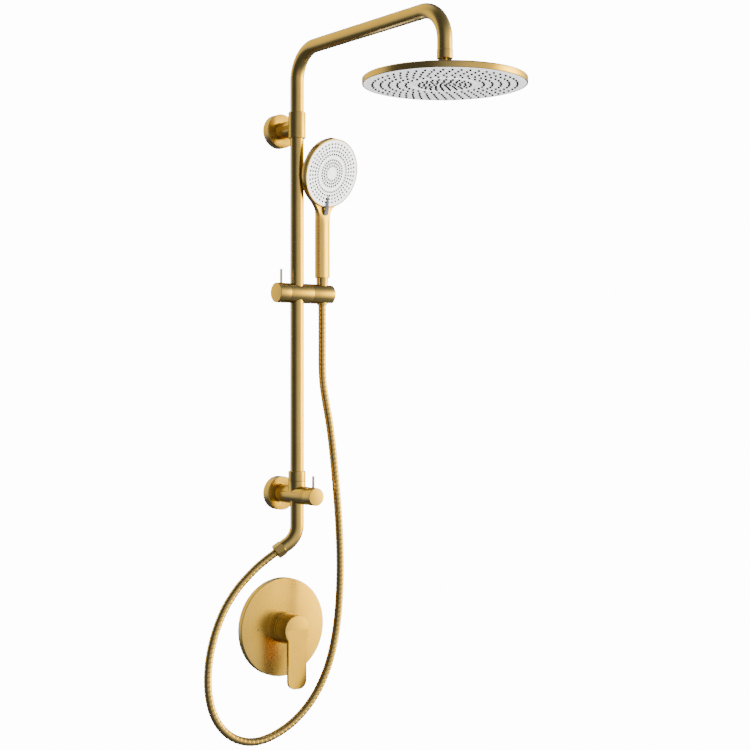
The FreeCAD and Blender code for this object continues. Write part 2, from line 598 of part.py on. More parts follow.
def hand_shower():
    centre, out = face_frame()
    back = out * -1
    grip_top = FACE_Z - 12.0
    grip = Part.Face(grip_section(CONE_TOP_Z)).extrude(UP * (grip_top - CONE_TOP_Z))
    slope_foot = FACE_Z - 64.0
    wedge_face = Part.Face(Part.makePolygon([
        V(0, GRIP_W, slope_foot), V(0, GRIP_W / 2 - GRIP_BACK_C, slope_foot),
        V(0, -FACE_OUT + DISC_DOME, grip_top), V(0, -FACE_OUT + DISC_DOME, grip_top + 9),
        V(0, GRIP_W, grip_top + 9), V(0, GRIP_W, slope_foot),
    ]))
    wedge = wedge_face.extrude(RIGHT * 2 * GRIP_W)
    wedge.translate(LEFT * GRIP_W)
    grip = grip.cut(wedge)
    disc = turned([
        (0, RING_T), (DISC_R, RING_T), (DISC_R, DISC_RIM - 2), (DISC_R - 2, DISC_RIM),
        (DISC_R * 0.62, DISC_DOME - 3), (DISC_R * 0.3, DISC_DOME), (0, DISC_DOME),
    ], centre, back)
    shell = grip.fuse(disc)
    ahead = rod(DISC_R + CLEAR, centre + back * RING_T, out, 2 * DISC_R)
    shell = shell.cut(ahead)
    cavity_r, cavity_depth = DISC_R - RING_W - 2.0, 11.0
    shell = shell.cut(rod(cavity_r, centre + back * (RING_T - 1), back, cavity_depth - RING_T + 1))
    water_r = 6.0
    shell = shell.cut(rod(water_r, V(0, 0, CONE_TOP_Z - 1), UP, FACE_Z - 30 - CONE_TOP_Z))
    spigot_l, spigot_r = 20.0, 7.6
    spigot = tube(spigot_r, water_r - 1, V(0, 0, CONE_TOP_Z - spigot_l), UP, spigot_l + 2)
    shell = shell.fuse(spigot)
    save("hand_shower_shell", in_hand(shell))

    ring_in = DISC_R - RING_W
    ring = tube(DISC_R, ring_in, centre, back, RING_T - CLEAR)
    save("selector_ring", in_hand(ring))
    face_r = ring_in - CLEAR
    neck_r = cavity_r - CLEAR
    face = rod(face_r, centre + back * 0.3, back, RING_T - 0.6)
    face = face.fuse(rod(neck_r, centre + back * (RING_T - 0.6), back, 1.6))
    save("hand_shower_face", in_hand(face))
    engine_at = RING_T + 1.0
    engine_l = cavity_depth - engine_at - 1.5
    save("spray_engine", in_hand(rod(neck_r, centre + back * engine_at, back, engine_l)))

    save("selector_lever", in_hand(selector(centre, out)))
    save("check_valve", in_hand(tube(water_r, 2.5, V(0, 0, CONE_TOP_Z + 4), UP, 12)))

    nut = cone(0).cut(rod(spigot_r, RISER + V(CONE_X, 0, CONE_TOP_Z - spigot_l - 3), UP, spigot_l + 4))
    nut = nut.cut(rod(HOSE_BORE, RISER + V(CONE_X, 0, CONE_LOW_Z - 1), UP, CONE_TOP_Z - CONE_LOW_Z))
    save("hose_cone_nut", nut)
    save("cone_washer", tube(spigot_r, HOSE_BORE, RISER + V(CONE_X, 0, CONE_TOP_Z - spigot_l - 3), UP, 3))


def selector(centre, out):
    """Wedge over the lower edge of the face. It stands on the ring and clears face and handle."""
    tilt = math.radians(FACE_TILT)
    down = V(0, math.sin(tilt), -math.cos(tilt))
    handle_gap = 1.9       # underside above the face's plane, below the ring
    half = SELECTOR_W / 2

    def at(p, q, h):
        return centre + down * p + RIGHT * q + out * h

    ring_in = DISC_R - RING_W
    side = [
        at(SELECTOR_IN, 0, CLEAR), at(ring_in, 0, CLEAR), at(ring_in, 0, 0), at(DISC_R, 0, 0),
        at(DISC_R, 0, handle_gap), at(SELECTOR_OUT, 0, handle_gap), at(SELECTOR_OUT, 0, SELECTOR_H * 0.8),
        at(DISC_R, 0, SELECTOR_H), at(SELECTOR_IN, 0, 0.8),
    ]
    slab = Part.Face(Part.makePolygon(side + side[:1])).extrude(RIGHT * 2 * half)
    slab.translate(LEFT * half)
    plan = [
        at(SELECTOR_IN, -0.6, -1), at(DISC_R, -half * 0.85, -1), at(SELECTOR_OUT, -half, -1),
        at(SELECTOR_OUT, half, -1), at(DISC_R, half * 0.85, -1), at(SELECTOR_IN, 0.6, -1),
    ]
    outline = Part.Face(Part.makePolygon(plan + plan[:1])).extrude(out * (SELECTOR_H + 2))
    return slab.common(outline)


# ---------------------------------------------------------------- wall valve
def wall_valve():
    axis = V(VALVE_X, 0, VALVE_Z)
    hole_r = VALVE_BODY_R + CLEAR
    save("trim_plate", turned(cup(PLATE_R, hole_r, PLATE_SHELL, PLATE_DEPTH), axis, OUTWARD))
    inside = PLATE_R - PLATE_SHELL
    save("trim_gasket", tube(inside, inside - 7, axis, OUTWARD, PLATE_DEPTH - PLATE_SHELL))

    edge, front = 0.5, VALVE_SLEEVE_Y - PLATE_DEPTH
    sleeve = turned([
        (hole_r, 0), (VALVE_SLEEVE_R, 0), (VALVE_SLEEVE_R, front - edge),
        (VALVE_SLEEVE_R - edge, front), (hole_r, front),
    ], axis + OUTWARD * PLATE_DEPTH, OUTWARD)
    save("trim_sleeve", sleeve)

    body_front = VALVE_SLEEVE_Y - 6
    body = rod(VALVE_BODY_R, axis + TO_WALL * VALVE_DEPTH, OUTWARD, VALVE_DEPTH + body_front)
    port = axis + TO_WALL * PORT_Y
    for direction in (LEFT, RIGHT, UP):
        body = body.fuse(rod(PORT_R, port, direction, PORT_REACH))
    for direction in (LEFT, RIGHT, UP):
        mouth = port + direction * (PORT_REACH - PORT_THREAD_L)
        body = body.cut(rod(INLET_R, mouth, direction, PORT_THREAD_L))
        body = body.cut(rod(HOSE_BORE, port, direction, PORT_REACH))
    cartridge_back = PORT_Y + PORT_R
    body = body.cut(rod(CARTRIDGE_R, axis + TO_WALL * cartridge_back, OUTWARD, cartridge_back + body_front))
    save("valve_body", body)

    nut_t = 3.4
    stem_r = 5.0
    cartridge = rod(CARTRIDGE_R, axis + TO_WALL * cartridge_back, OUTWARD, cartridge_back + body_front)
    save("valve_cartridge", cartridge)
    save("valve_bonnet_nut", tube(VALVE_BODY_R, stem_r + 3, axis + OUTWARD * body_front, OUTWARD, nut_t))

    hub_back = VALVE_SLEEVE_Y + 0.4
    hub_l = LEVER_FRONT - hub_back
    stem_back = body_front + 0.1
    stem_l = hub_back + 16.0 - stem_back
    hub = turned([
        (0, 0), (HUB_R - 0.5, 0), (HUB_R, 0.5), (HUB_R, hub_l - 0.6), (HUB_R - 0.6, hub_l), (0, hub_l),
    ], axis + OUTWARD * hub_back, OUTWARD)
    half, tip_r = LEVER_W / 2, 14.0
    arc = tip_r * (1 - math.sqrt(0.5))
    back_y = -(LEVER_FRONT - LEVER_T)

    def at(x, down):
        return V(VALVE_X + x, back_y, VALVE_Z - down)

    paddle = Part.Face(Part.Wire([
        Part.LineSegment(at(-half, 0), at(half, 0)).toShape(),
        Part.LineSegment(at(half, 0), at(half, LEVER_REACH - tip_r)).toShape(),
        Part.Arc(at(half, LEVER_REACH - tip_r), at(half - arc, LEVER_REACH - arc),
                 at(half - tip_r, LEVER_REACH)).toShape(),
        Part.LineSegment(at(half - tip_r, LEVER_REACH), at(-half + tip_r, LEVER_REACH)).toShape(),
        Part.Arc(at(-half + tip_r, LEVER_REACH), at(-half + arc, LEVER_REACH - arc),
                 at(-half, LEVER_REACH - tip_r)).toShape(),
        Part.LineSegment(at(-half, LEVER_REACH - tip_r), at(-half, 0)).toShape(),
    ])).extrude(OUTWARD * (LEVER_T - 0.6))
    lever = hub.fuse(paddle).cut(rod(stem_r, axis, OUTWARD, stem_back + stem_l))
    screw_y, screw_l = hub_back + 9.0, 12.0
    screw = rod(SCREW_R, axis + V(0, -screw_y, -stem_r - screw_l), UP, screw_l)
    hole = rod(SCREW_R, axis + V(0, -screw_y, -HUB_R - 1), UP, HUB_R)
    save("valve_lever", lever.cut(hole))
    save("lever_set_screw", screw)
    save("valve_stem", rod(stem_r, axis + OUTWARD * stem_back, OUTWARD, stem_l))


os.makedirs(PARTS, exist_ok=True)
lower_bracket()
upper_bracket()
arm()
outlet()
hose()
slider()
hand_shower()
wall_valve()
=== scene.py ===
"""Rainfall shower column in brushed gold: its finished surfaces, materials and studio."""

import json
import math

import bmesh
import bpy
import numpy as np
from bpy.props import FloatProperty, FloatVectorProperty, PointerProperty
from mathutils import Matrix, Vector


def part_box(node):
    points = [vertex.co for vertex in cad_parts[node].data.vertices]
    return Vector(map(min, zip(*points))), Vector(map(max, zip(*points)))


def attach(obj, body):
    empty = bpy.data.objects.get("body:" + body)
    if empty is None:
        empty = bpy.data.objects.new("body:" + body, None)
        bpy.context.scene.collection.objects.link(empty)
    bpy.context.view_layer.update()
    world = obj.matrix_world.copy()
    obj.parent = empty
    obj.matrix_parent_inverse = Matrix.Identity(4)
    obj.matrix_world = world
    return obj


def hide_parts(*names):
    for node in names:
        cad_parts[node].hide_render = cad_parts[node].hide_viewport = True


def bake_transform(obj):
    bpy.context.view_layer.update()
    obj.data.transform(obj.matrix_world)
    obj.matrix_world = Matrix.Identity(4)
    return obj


bl_info = {
    "name": "Rainfall shower column",
    "version": (1, 0, 0),
    "blender": (4, 5, 0),
    "location": "3D View > Sidebar > Shower",
    "description": "Builds the finished pieces of a rainfall shower column round its CAD frame",
    "category": "Object",
}

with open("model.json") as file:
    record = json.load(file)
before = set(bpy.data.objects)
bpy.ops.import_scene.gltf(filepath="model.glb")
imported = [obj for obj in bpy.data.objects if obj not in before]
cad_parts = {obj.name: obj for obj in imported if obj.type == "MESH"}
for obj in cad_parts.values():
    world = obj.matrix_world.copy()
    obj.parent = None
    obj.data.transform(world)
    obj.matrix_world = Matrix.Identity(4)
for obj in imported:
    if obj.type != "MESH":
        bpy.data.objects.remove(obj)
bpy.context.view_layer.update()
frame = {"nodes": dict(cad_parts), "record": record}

MM = 0.001
MERGE = 1e-6               # points nearer than this are one point
CREASE = math.radians(28)  # edges sharper than this stay sharp
FINE = 128                 # points round a large turned piece
SMALL = 48                 # points round a pin
X, Y, Z = np.eye(3)


# ---- places from the frame
def span(node):
    """Lowest and highest corner of a CAD node, in metres."""
    low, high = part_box(node)
    return np.array(low), np.array(high)


def middle(node):
    return sum(span(node)) / 2


def half_width(node, axis=0):
    low, high = span(node)
    return (high - low)[axis] / 2


RISER = middle("riser_tube") * (1, 1, 0)
TUBE_R = half_width("riser_tube")
TUBE_WALL = 1.2 * MM
FIT = 0.05 * MM
FLANGE_R = half_width("lower_flange")
FLANGE_DEPTH = -span("lower_flange")[0][1]
SHELL = 2.4 * MM
SLEEVE_R = half_width("riser_collar")
BODY_R = half_width("diverter_body")
KNOB_R = half_width("diverter_knob")
PIN_R = 2.4 * MM
UPPER_Z = middle("upper_flange")[2]
STUB_R = 14.3 * MM
ARM_Z = span("shower_arm")[1][2] - TUBE_R
DROP = RISER * (1, 0, 0) + Y * (span("shower_arm")[0][1] + TUBE_R)
ARM_BEND_R = 54 * MM
ARM_LOW_Z = 707 * MM
OUTLET_BEND_R = 40 * MM
OUTLET_BEND = math.radians(56)
OUTLET_TURN = math.radians(20)
OUTLET_DROP = 52.7 * MM
OUTLET_TAIL = 8.4 * MM
OUTLET_TOP = 10.2 * MM     # how far below the body's axis the outlet tube starts
NUT_AF = 23 * MM
NUT_L = 16 * MM
HOSE_R = 7 * MM
HOSE_BORE = 5 * MM
BAR_Z = middle("slider_body")[2]
BAR_R = half_width("slider_body", 2)
CONE = RISER + X * 54 * MM
CONE_LOW_Z, CONE_TOP_Z = span("hose_cone_nut")[0][2], span("hose_cone_nut")[1][2]
CONE_LOW_R, CONE_TOP_R = 8.7 * MM, 10.8 * MM
NECK_Z = span("hose_neck")[0][2]
HAND_TURN = math.radians(8)
FACE_TILT = math.radians(15)
FACE_Z = 564.4 * MM
FACE_OUT = 26 * MM
DISC_R = 61 * MM
RING_W, RING_T = 2.1 * MM, 3 * MM
GRIP_HALF = 13.5 * MM
GRIP_FRONT = 7.8 * MM
GRIP_SIDE = 7 * MM         # straight part of the handle's side
HEAD_R = half_width("head_cover")
HEAD_Z = span("head_cover")[0][2]
HEAD_TOP_Z = span("head_cover")[1][2]
VALVE = middle("trim_plate") * (1, 0, 1)
PLATE_R = half_width("trim_plate")
PLATE_Y = span("trim_plate")[0][1]
LEVER_Y = span("valve_lever")[0][1]
LEVER_TIP = VALVE[2] - span("valve_lever")[0][2]

# The hose's way from the nut on the outlet to the neck below the hand shower, in metres.
HOSE_ROUTE = [
    (-0.035578, -0.049351, -0.099506), (-0.058949, -0.040844, -0.116282),
    (-0.082, -0.038, -0.135), (-0.107, -0.035, -0.159), (-0.133, -0.036, -0.191),
    (-0.154, -0.039, -0.231), (-0.169, -0.044, -0.277), (-0.174, -0.050, -0.326),
    (-0.164, -0.056, -0.372), (-0.136, -0.061, -0.405), (-0.095, -0.066, -0.420),
    (-0.051, -0.071, -0.412), (-0.006, -0.075, -0.388), (0.032, -0.078, -0.349),
    (0.060, -0.079, -0.296), (0.076, -0.079, -0.230), (0.082, -0.079, -0.151),
    (0.080, -0.079, -0.066), (0.073, -0.077, 0.025), (0.065, -0.073, 0.113),
    (0.0575, -0.066, 0.169), (0.054, -0.0623, 0.207), (0.054, -0.0623, 0.242),
]

# Rings of nozzles: radius in metres and how many.
RAIN_RINGS = [
    (0.111, 52), (0.0985, 47), (0.086, 42), (0.073, 37), (0.060, 31),
    (0.040, 24), (0.032, 19), (0.024, 15), (0.016, 10), (0.008, 5), (0.0, 1),
]
HAND_RINGS = [
    (0.0518, 42), (0.0457, 42), (0.0396, 42), (0.0335, 42),
    (0.0236, 30), (0.0185, 24), (0.0134, 16),
]


# ---- sizes and colours to change
class ShowerSizes(bpy.types.PropertyGroup):
    """Small sizes that the finished pieces add to the frame."""
    edge: FloatProperty(
        name="Edge", description="Rounding of the metal's outer edges",
        default=0.6 * MM, min=0.1 * MM, max=2 * MM, unit="LENGTH")
    rib_pitch: FloatProperty(
        name="Rib pitch", description="Width of one winding of the hose's metal strip",
        default=8.0 * MM, min=2 * MM, max=20 * MM, unit="LENGTH")
    rib_depth: FloatProperty(
        name="Rib depth", description="Depth of the seam between two windings",
        default=0.55 * MM, min=0.0, max=1.5 * MM, unit="LENGTH")
    nozzle_radius: FloatProperty(
        name="Nozzle radius", description="Radius of a rubber nozzle at its foot",
        default=1.9 * MM, min=0.5 * MM, max=3 * MM, unit="LENGTH")
    nozzle_height: FloatProperty(
        name="Nozzle height", description="How far a rubber nozzle of the rain head stands out",
        default=2.2 * MM, min=0.1 * MM, max=4 * MM, unit="LENGTH")


class ShowerFinish(bpy.types.PropertyGroup):
    """Colours and gloss of the finishes, and the strength of the light."""
    gold: FloatVectorProperty(
        name="Gold", description="Colour of the brushed metal",
        default=(0.60, 0.405, 0.14), min=0.0, max=1.0, size=3, subtype="COLOR")
    gloss: FloatProperty(
        name="Roughness", description="Roughness of the brushed metal",
        default=0.25, min=0.05, max=1.0, subtype="FACTOR")
    face: FloatVectorProperty(
        name="Face", description="Colour of the spray faces",
        default=(0.86, 0.86, 0.88), min=0.0, max=1.0, size=3, subtype="COLOR")
    rubber: FloatVectorProperty(
        name="Nozzles", description="Colour of the rubber nozzles",
        default=(0.008, 0.008, 0.009), min=0.0, max=1.0, size=3, subtype="COLOR")
    light: FloatProperty(
        name="Light", description="Strength of the studio's soft light",
        default=1.0, min=0.0, max=10.0)


# ---- shader graphs
class Field:
    """A socket whose Python operators add Math nodes."""

    def __init__(self, graph, socket):
        self.graph, self.socket = graph, socket

    def math(self, operation, *values):
        node = self.graph.node("Math", {"operation": operation}, dict(enumerate(values)))
        return Field(self.graph, node.outputs[0])

    def __add__(self, other):
        return self.math("ADD", self, other)

    def __radd__(self, other):
        return self.math("ADD", other, self)

    def __sub__(self, other):
        return self.math("SUBTRACT", self, other)

    def __rsub__(self, other):
        return self.math("SUBTRACT", other, self)

    def __mul__(self, other):
        return self.math("MULTIPLY", self, other)

    def step(self, low, high):
        """0 below low, 1 above high, and 3t² − 2t³ of the share t between."""
        node = self.graph.node(
            "MapRange", {"interpolation_type": "SMOOTHSTEP"},
            {"Value": self, "From Min": low, "From Max": high})
        return Field(self.graph, node.outputs["Result"])


class Graph:
    """The emptied node tree of a material or of the world."""

    def __init__(self, owner):
        owner.use_nodes = True
        self.tree = owner.node_tree
        self.tree.nodes.clear()

    def node(self, kind, settings=None, inputs=None):
        """Adds a shader node: its settings first, then the values or links of its sockets."""
        made = self.tree.nodes.new("ShaderNode" + kind)
        for name, value in (settings or {}).items():
            setattr(made, name, value)
        for name, value in (inputs or {}).items():
            value = value.socket if isinstance(value, Field) else value
            if isinstance(value, bpy.types.NodeSocket):
                self.tree.links.new(value, made.inputs[name])
            else:
                made.inputs[name].default_value = value
        return made

    def noise(self, place, scale, detail=2.0):
        """Noise from 0 to 1; scale is in cycles per metre along each axis."""
        spread = self.node("Mapping", {}, {"Vector": place, "Scale": scale}).outputs[0]
        made = self.node("TexNoise", {}, {"Vector": spread, "Scale": 1.0, "Detail": detail})
        return Field(self, made.outputs[0])

    def mix(self, share, first, second):
        """The colour between two colours at a share."""
        made = self.node("Mix", {"data_type": "RGBA"}, {0: share, 6: first, 7: second})
        return made.outputs[2]

    def principled(self, inputs):
        """Joins a Principled shader with those inputs to the material's output."""
        shader = self.node("BsdfPrincipled", {}, inputs)
        self.node("OutputMaterial", {}, {"Surface": shader.outputs[0]})


def shade(colour, amount):
    return (*(min(1.0, c * amount) for c in colour), 1.0)


def metal(name, colour, roughness, coordinates, grain):
    """Brushed metal: fine streaks, long along one axis, in roughness and height, and broad cloudy
    patches in colour and roughness. grain is the streaks' cycles per metre along each axis."""
    made = bpy.data.materials.new(name)
    graph = Graph(made)
    place = graph.node("TexCoord").outputs[coordinates]
    streaks = graph.noise(place, grain, 3.0)
    patches = graph.noise(place, (24.0, 24.0, 24.0))
    surface_colour = graph.mix(patches.step(0.25, 0.75), shade(colour, 0.95), shade(colour, 1.05))
    gloss = roughness - 0.05 + streaks * 0.05 + patches * 0.05
    bump = graph.node("Bump", {}, {"Strength": 0.05, "Distance": 0.04 * MM, "Height": streaks})
    graph.principled({
        "Base Color": surface_colour, "Roughness": gloss, "Metallic": 1.0, "Normal": bump.outputs[0]})
    return made


def moulded(name, colour, roughness, coat=0.0, shine=0.5):
    """Moulded plastic or rubber: a faint pebbled skin and slow changes of colour and gloss."""
    made = bpy.data.materials.new(name)
    graph = Graph(made)
    place = graph.node("TexCoord").outputs["Object"]
    pebbles = graph.noise(place, (900.0, 900.0, 900.0))
    patches = graph.noise(place, (30.0, 30.0, 30.0))
    surface_colour = graph.mix(patches, shade(colour, 0.96), shade(colour, 1.03))
    gloss = roughness - 0.04 + patches * 0.05 + pebbles * 0.03
    bump = graph.node("Bump", {}, {"Strength": 0.08, "Distance": 0.05 * MM, "Height": pebbles})
    graph.principled({
        "Base Color": surface_colour, "Roughness": gloss, "Normal": bump.outputs[0],
        "Coat Weight": coat, "Specular IOR Level": shine})
    return made


# Grain of the streaks: along a bar, round a turned piece, and the same every way.
ALONG, ROUND, EVEN = (1800.0, 30.0, 1.0), (30.0, 1800.0, 1.0), (700.0, 700.0, 700.0)

# Material slot and finish of the gold pieces.
LONG_GOLD = "gold_metal", "brushed_gold_long"
TURNED_GOLD = "gold_metal", "brushed_gold_turned"
SATIN_GOLD = "gold_metal", "satin_gold"


def material(name):
    """The finish of that name, made when it is first asked for."""
    found = bpy.data.materials.get(name)
    if found:
        return found
    finish = bpy.context.scene.shower_finish
    gold, gloss = tuple(finish.gold), finish.gloss
    recipes = {
        "brushed_gold_long": lambda: metal(name, gold, gloss, "UV", ALONG),
        "brushed_gold_turned": lambda: metal(name, gold, gloss, "UV", ROUND),
        "satin_gold": lambda: metal(name, gold, gloss + 0.03, "Object", EVEN),
        "satin_gold_plastic": lambda: metal(name, gold, gloss, "UV", ALONG),
        "wound_gold": lambda: metal(name, gold, gloss - 0.04, "UV", ROUND),
        "machined_brass": lambda: metal(name, (0.50, 0.33, 0.11), 0.38, "Object", EVEN),
        "stainless_steel": lambda: metal(name, (0.56, 0.56, 0.57), 0.32, "Object", EVEN),
        "white_face": lambda: moulded(name, tuple(finish.face), 0.34, coat=0.2),
        "grey_rubber": lambda: moulded(name, tuple(finish.rubber), 0.75, shine=0.15),
        "black_rubber": lambda: moulded(name, (0.02, 0.02, 0.022), 0.55),
        "lever_grey": lambda: moulded(name, (0.10, 0.103, 0.11), 0.36),
        "moulded_inner": lambda: moulded(name, (0.62, 0.62, 0.60), 0.45),
        "dark_mark": lambda: moulded(name, (0.05, 0.03, 0.02), 0.5),
    }
    return recipes[name]()


# ---- surfaces
def unit(vectors):
    return vectors / np.linalg.norm(vectors, axis=-1, keepdims=True)


def smooth(x, low, high):
    """0 below low, 1 above high, and 3t² − 2t³ of the share t between."""
    t = np.clip((x - low) / (high - low), 0, 1)
    return t * t * (3 - 2 * t)


def rounded(corners, steps=6, loop=False):
    """An outline from corners (place…, radius), in two or three dimensions. A corner P of radius r
    becomes an arc: with a the half angle between its two sides and b their bisector, its centre is
    P + b·r/sin a, and its points turn evenly from the foot on one side to the foot on the other."""
    corners = np.asarray(corners, float)
    points, radii = corners[:, :-1], corners[:, -1]
    to_last, to_next = np.roll(points, 1, 0) - points, np.roll(points, -1, 0) - points
    reach = 0.49 * np.minimum(np.linalg.norm(to_last, axis=1), np.linalg.norm(to_next, axis=1))
    to_last, to_next = unit(to_last), unit(to_next)
    half = np.arccos(np.clip((to_last * to_next).sum(1), -1, 1)) / 2
    cut = np.minimum(radii / np.tan(half), np.where(radii > 20 * MM, radii * 9, reach))
    bisector = unit(to_last + to_next + 1e-12)
    centre = points + bisector * (cut / np.cos(half))[:, None]
    share = np.linspace(0, 1, steps)[:, None]
    made = []
    for k, corner in enumerate(points):
        if radii[k] <= 0 or (not loop and k in (0, len(points) - 1)):
            made.append(corner[None])
            continue
        first = corner + to_last[k] * cut[k] - centre[k]
        last = corner + to_next[k] * cut[k] - centre[k]
        turn = math.pi - 2 * half[k]
        arc = (first * np.sin((1 - share) * turn) + last * np.sin(share * turn)) / math.sin(turn)
        made.append(centre[k] + arc)
    return np.concatenate(made)


def surface(points, loop_rows=False):
    """A mesh from a grid of points: each four neighbours are one face, the last column joins the
    first, and the last row the first where it is a loop. The map runs in metres, its first number
    round a row and its second along the rows. Doubles are merged and the faces turned outwards."""
    rows, columns = points.shape[:2]
    i, j = np.meshgrid(
        np.arange(rows if loop_rows else rows - 1), np.arange(columns), indexing="ij")
    corner_row = np.stack([i, i, i + 1, i + 1], -1).reshape(-1, 4)
    corner_column = np.stack([j, j + 1, j + 1, j], -1).reshape(-1, 4)
    index = (corner_row % rows) * columns + corner_column % columns
    wrapped = np.concatenate([points, points[:1]])
    along = np.r_[0, np.cumsum(np.linalg.norm(np.diff(wrapped, axis=0), axis=2).max(1))]
    wrapped = np.concatenate([points, points[:, :1]], axis=1)
    around = np.r_[0, np.cumsum(np.linalg.norm(np.diff(wrapped, axis=1), axis=2).max(0))]
    chart = np.stack([around[corner_column], along[corner_row]], -1)
    mesh = bpy.data.meshes.new("surface")
    mesh.vertices.add(rows * columns)
    mesh.vertices.foreach_set("co", points.astype(np.float32).ravel())
    mesh.loops.add(index.size)
    mesh.loops.foreach_set("vertex_index", index.ravel().astype(np.int32))
    mesh.polygons.add(len(index))
    mesh.polygons.foreach_set("loop_start", np.arange(0, index.size, 4, dtype=np.int32))
    mesh.update(calc_edges=True)
    layer = mesh.uv_layers.new(name="UVMap")
    layer.data.foreach_set("uv", chart.astype(np.float32).ravel())
    return tidied(mesh)


def tidied(mesh):
    """Merges doubles, drops faces without area, turns the faces outwards and shades them smooth
    with sharp creases."""
    work = bmesh.new()
    work.from_mesh(mesh)
    bmesh.ops.remove_doubles(work, verts=work.verts, dist=MERGE)
    bmesh.ops.dissolve_degenerate(work, edges=work.edges, dist=MERGE / 2)
    bmesh.ops.recalc_face_normals(work, faces=work.faces)
    work.to_mesh(mesh)
    work.free()
    mesh.polygons.foreach_set("use_smooth", np.ones(len(mesh.polygons), bool))
    mesh.set_sharp_from_angle(angle=CREASE)
    mesh.update()
    return mesh


def cross_axes(direction):
    """Two unit vectors square to a direction: X and Y, turned as the shortest turn takes Z to it."""
    direction = unit(np.asarray(direction, float))
    if direction[2] < -0.9999:
        return X, -Y
    v = np.cross(Z, direction)
    turn = np.array([[0, -v[2], v[1]], [v[2], 0, -v[0]], [-v[1], v[0], 0]])
    turn = np.eye(3) + turn + turn @ turn / (1 + direction[2])
    return turn[:, 0], turn[:, 1]


def turned(profile, centre, direction, loop=False, columns=FINE):
    """A turned piece: the profile point at radius r and distance h along the axis becomes the circle
    centre + h·axis + r·(cos t·e1 + sin t·e2). The profile's corners are (r, h, rounding)."""
    outline = rounded(profile, loop=loop)
    direction = unit(np.asarray(direction, float))
    e1, e2 = cross_axes(direction)
    t = np.linspace(0, 2 * math.pi, columns, endpoint=False)
    circle = np.cos(t)[:, None] * e1 + np.sin(t)[:, None] * e2
    points = centre + outline[:, 1, None, None] * direction + outline[:, 0, None, None] * circle
    return surface(points, loop_rows=loop)


def solid_rod(radius, centre, direction, length, edge=0.0, end_edge=None, columns=FINE):
    """A turned rod with closed ends and rounded rims."""
    end_edge = edge if end_edge is None else end_edge
    profile = [(0, 0, 0), (radius, 0, edge), (radius, length, end_edge), (0, length, 0)]
    return turned(profile, centre, direction, columns=columns)


def sleeve(outer, bore, centre, direction, length, edge=0.0):
    """A turned ring or tube with rounded outer rims."""
    profile = [(bore, 0, 0), (outer, 0, edge), (outer, length, edge), (bore, length, 0)]
    return turned(profile, centre, direction, loop=True)


def swept(path, radius, across, columns=64):
    """A bent tube with closed ends: at each point of the path, a circle square to the path's tangent,
    started from the vector across. The radius is one number, or one for each point of each circle."""
    path = np.asarray(path, float)
    tangent = unit(np.gradient(path, axis=0))
    e1 = unit(across - tangent * (tangent @ across)[:, None])
    e2 = np.cross(tangent, e1)
    t = np.linspace(0, 2 * math.pi, columns, endpoint=False)[:, None]
    ring = np.cos(t) * e1[:, None] + np.sin(t) * e2[:, None]
    reach = np.broadcast_to(radius, (len(path), columns))
    points = path[:, None] + reach[..., None] * ring
    ends = np.repeat(path[[0, -1], None], columns, axis=1)
    return surface(np.concatenate([ends[:1], points, ends[1:]]))


def placed(name, data):
    """A new object in the scene."""
    made = bpy.data.objects.new(name, data)
    bpy.context.scene.collection.objects.link(made)
    return made


def evaluated(holder):
    """The mesh of an object with its modifiers applied, or of a curve."""
    view = bpy.context.evaluated_depsgraph_get()
    return bpy.data.meshes.new_from_object(holder.evaluated_get(view), depsgraph=view)


def carved(base, add=(), cut=()):
    """One closed mesh: the base joined with some meshes, less others."""
    holder = placed("carving", base)
    tools = []
    for mesh, operation in [(m, "UNION") for m in add] + [(m, "DIFFERENCE") for m in cut]:
        tool = placed("tool", mesh)
        modifier = holder.modifiers.new("carve", "BOOLEAN")
        modifier.operation, modifier.object, modifier.solver = operation, tool, "EXACT"
        tools.append(tool)
    made = evaluated(holder)
    for leftover in [holder, *tools]:
        bpy.data.objects.remove(leftover)
    if not made.polygons:
        raise RuntimeError("a carved piece came out empty")
    return tidied(made)


def piece(name, mesh, body, nodes, slot, finish):
    """Puts a finished mesh on its body in place of its CAD nodes."""
    mesh.name = name
    made = placed(name, mesh)
    mesh.materials.clear()
    mesh.materials.append(material(finish))
    if body:
        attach(made, body)
    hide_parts(*nodes)
    return made


# ---- column and wall brackets
def flange_profile(bore, edge):
    return [
        (FLANGE_R - SHELL, 0, 0), (FLANGE_R, 0, 0), (FLANGE_R, FLANGE_DEPTH, 1.6 * edge),
        (bore, FLANGE_DEPTH, edge / 2), (bore, FLANGE_DEPTH - SHELL, 0),
        (FLANGE_R - SHELL, FLANGE_DEPTH - SHELL, 0),
    ]


def build_column(scene):
    """Riser tube, its collar and the two round wall flanges."""
    edge = scene.shower_sizes.edge
    low, high = span("riser_tube")
    tube = sleeve(TUBE_R, TUBE_R - TUBE_WALL, RISER + Z * low[2], Z, high[2] - low[2])
    piece("riser", tube, "root", ["riser_tube"], *LONG_GOLD)
    low, high = span("riser_collar")
    collar = sleeve(SLEEVE_R, TUBE_R + FIT, RISER + Z * low[2], Z, high[2] - low[2], edge)
    piece("collar", collar, "root", ["riser_collar"], *TURNED_GOLD)
    for node, centre, bore in (("lower_flange", 0 * Z, BODY_R), ("upper_flange", Z * UPPER_Z, STUB_R)):
        cup = turned(flange_profile(bore + 0.15 * MM, edge), centre, -Y, loop=True)
        piece(node + "_cup", cup, "root", [node], *TURNED_GOLD)


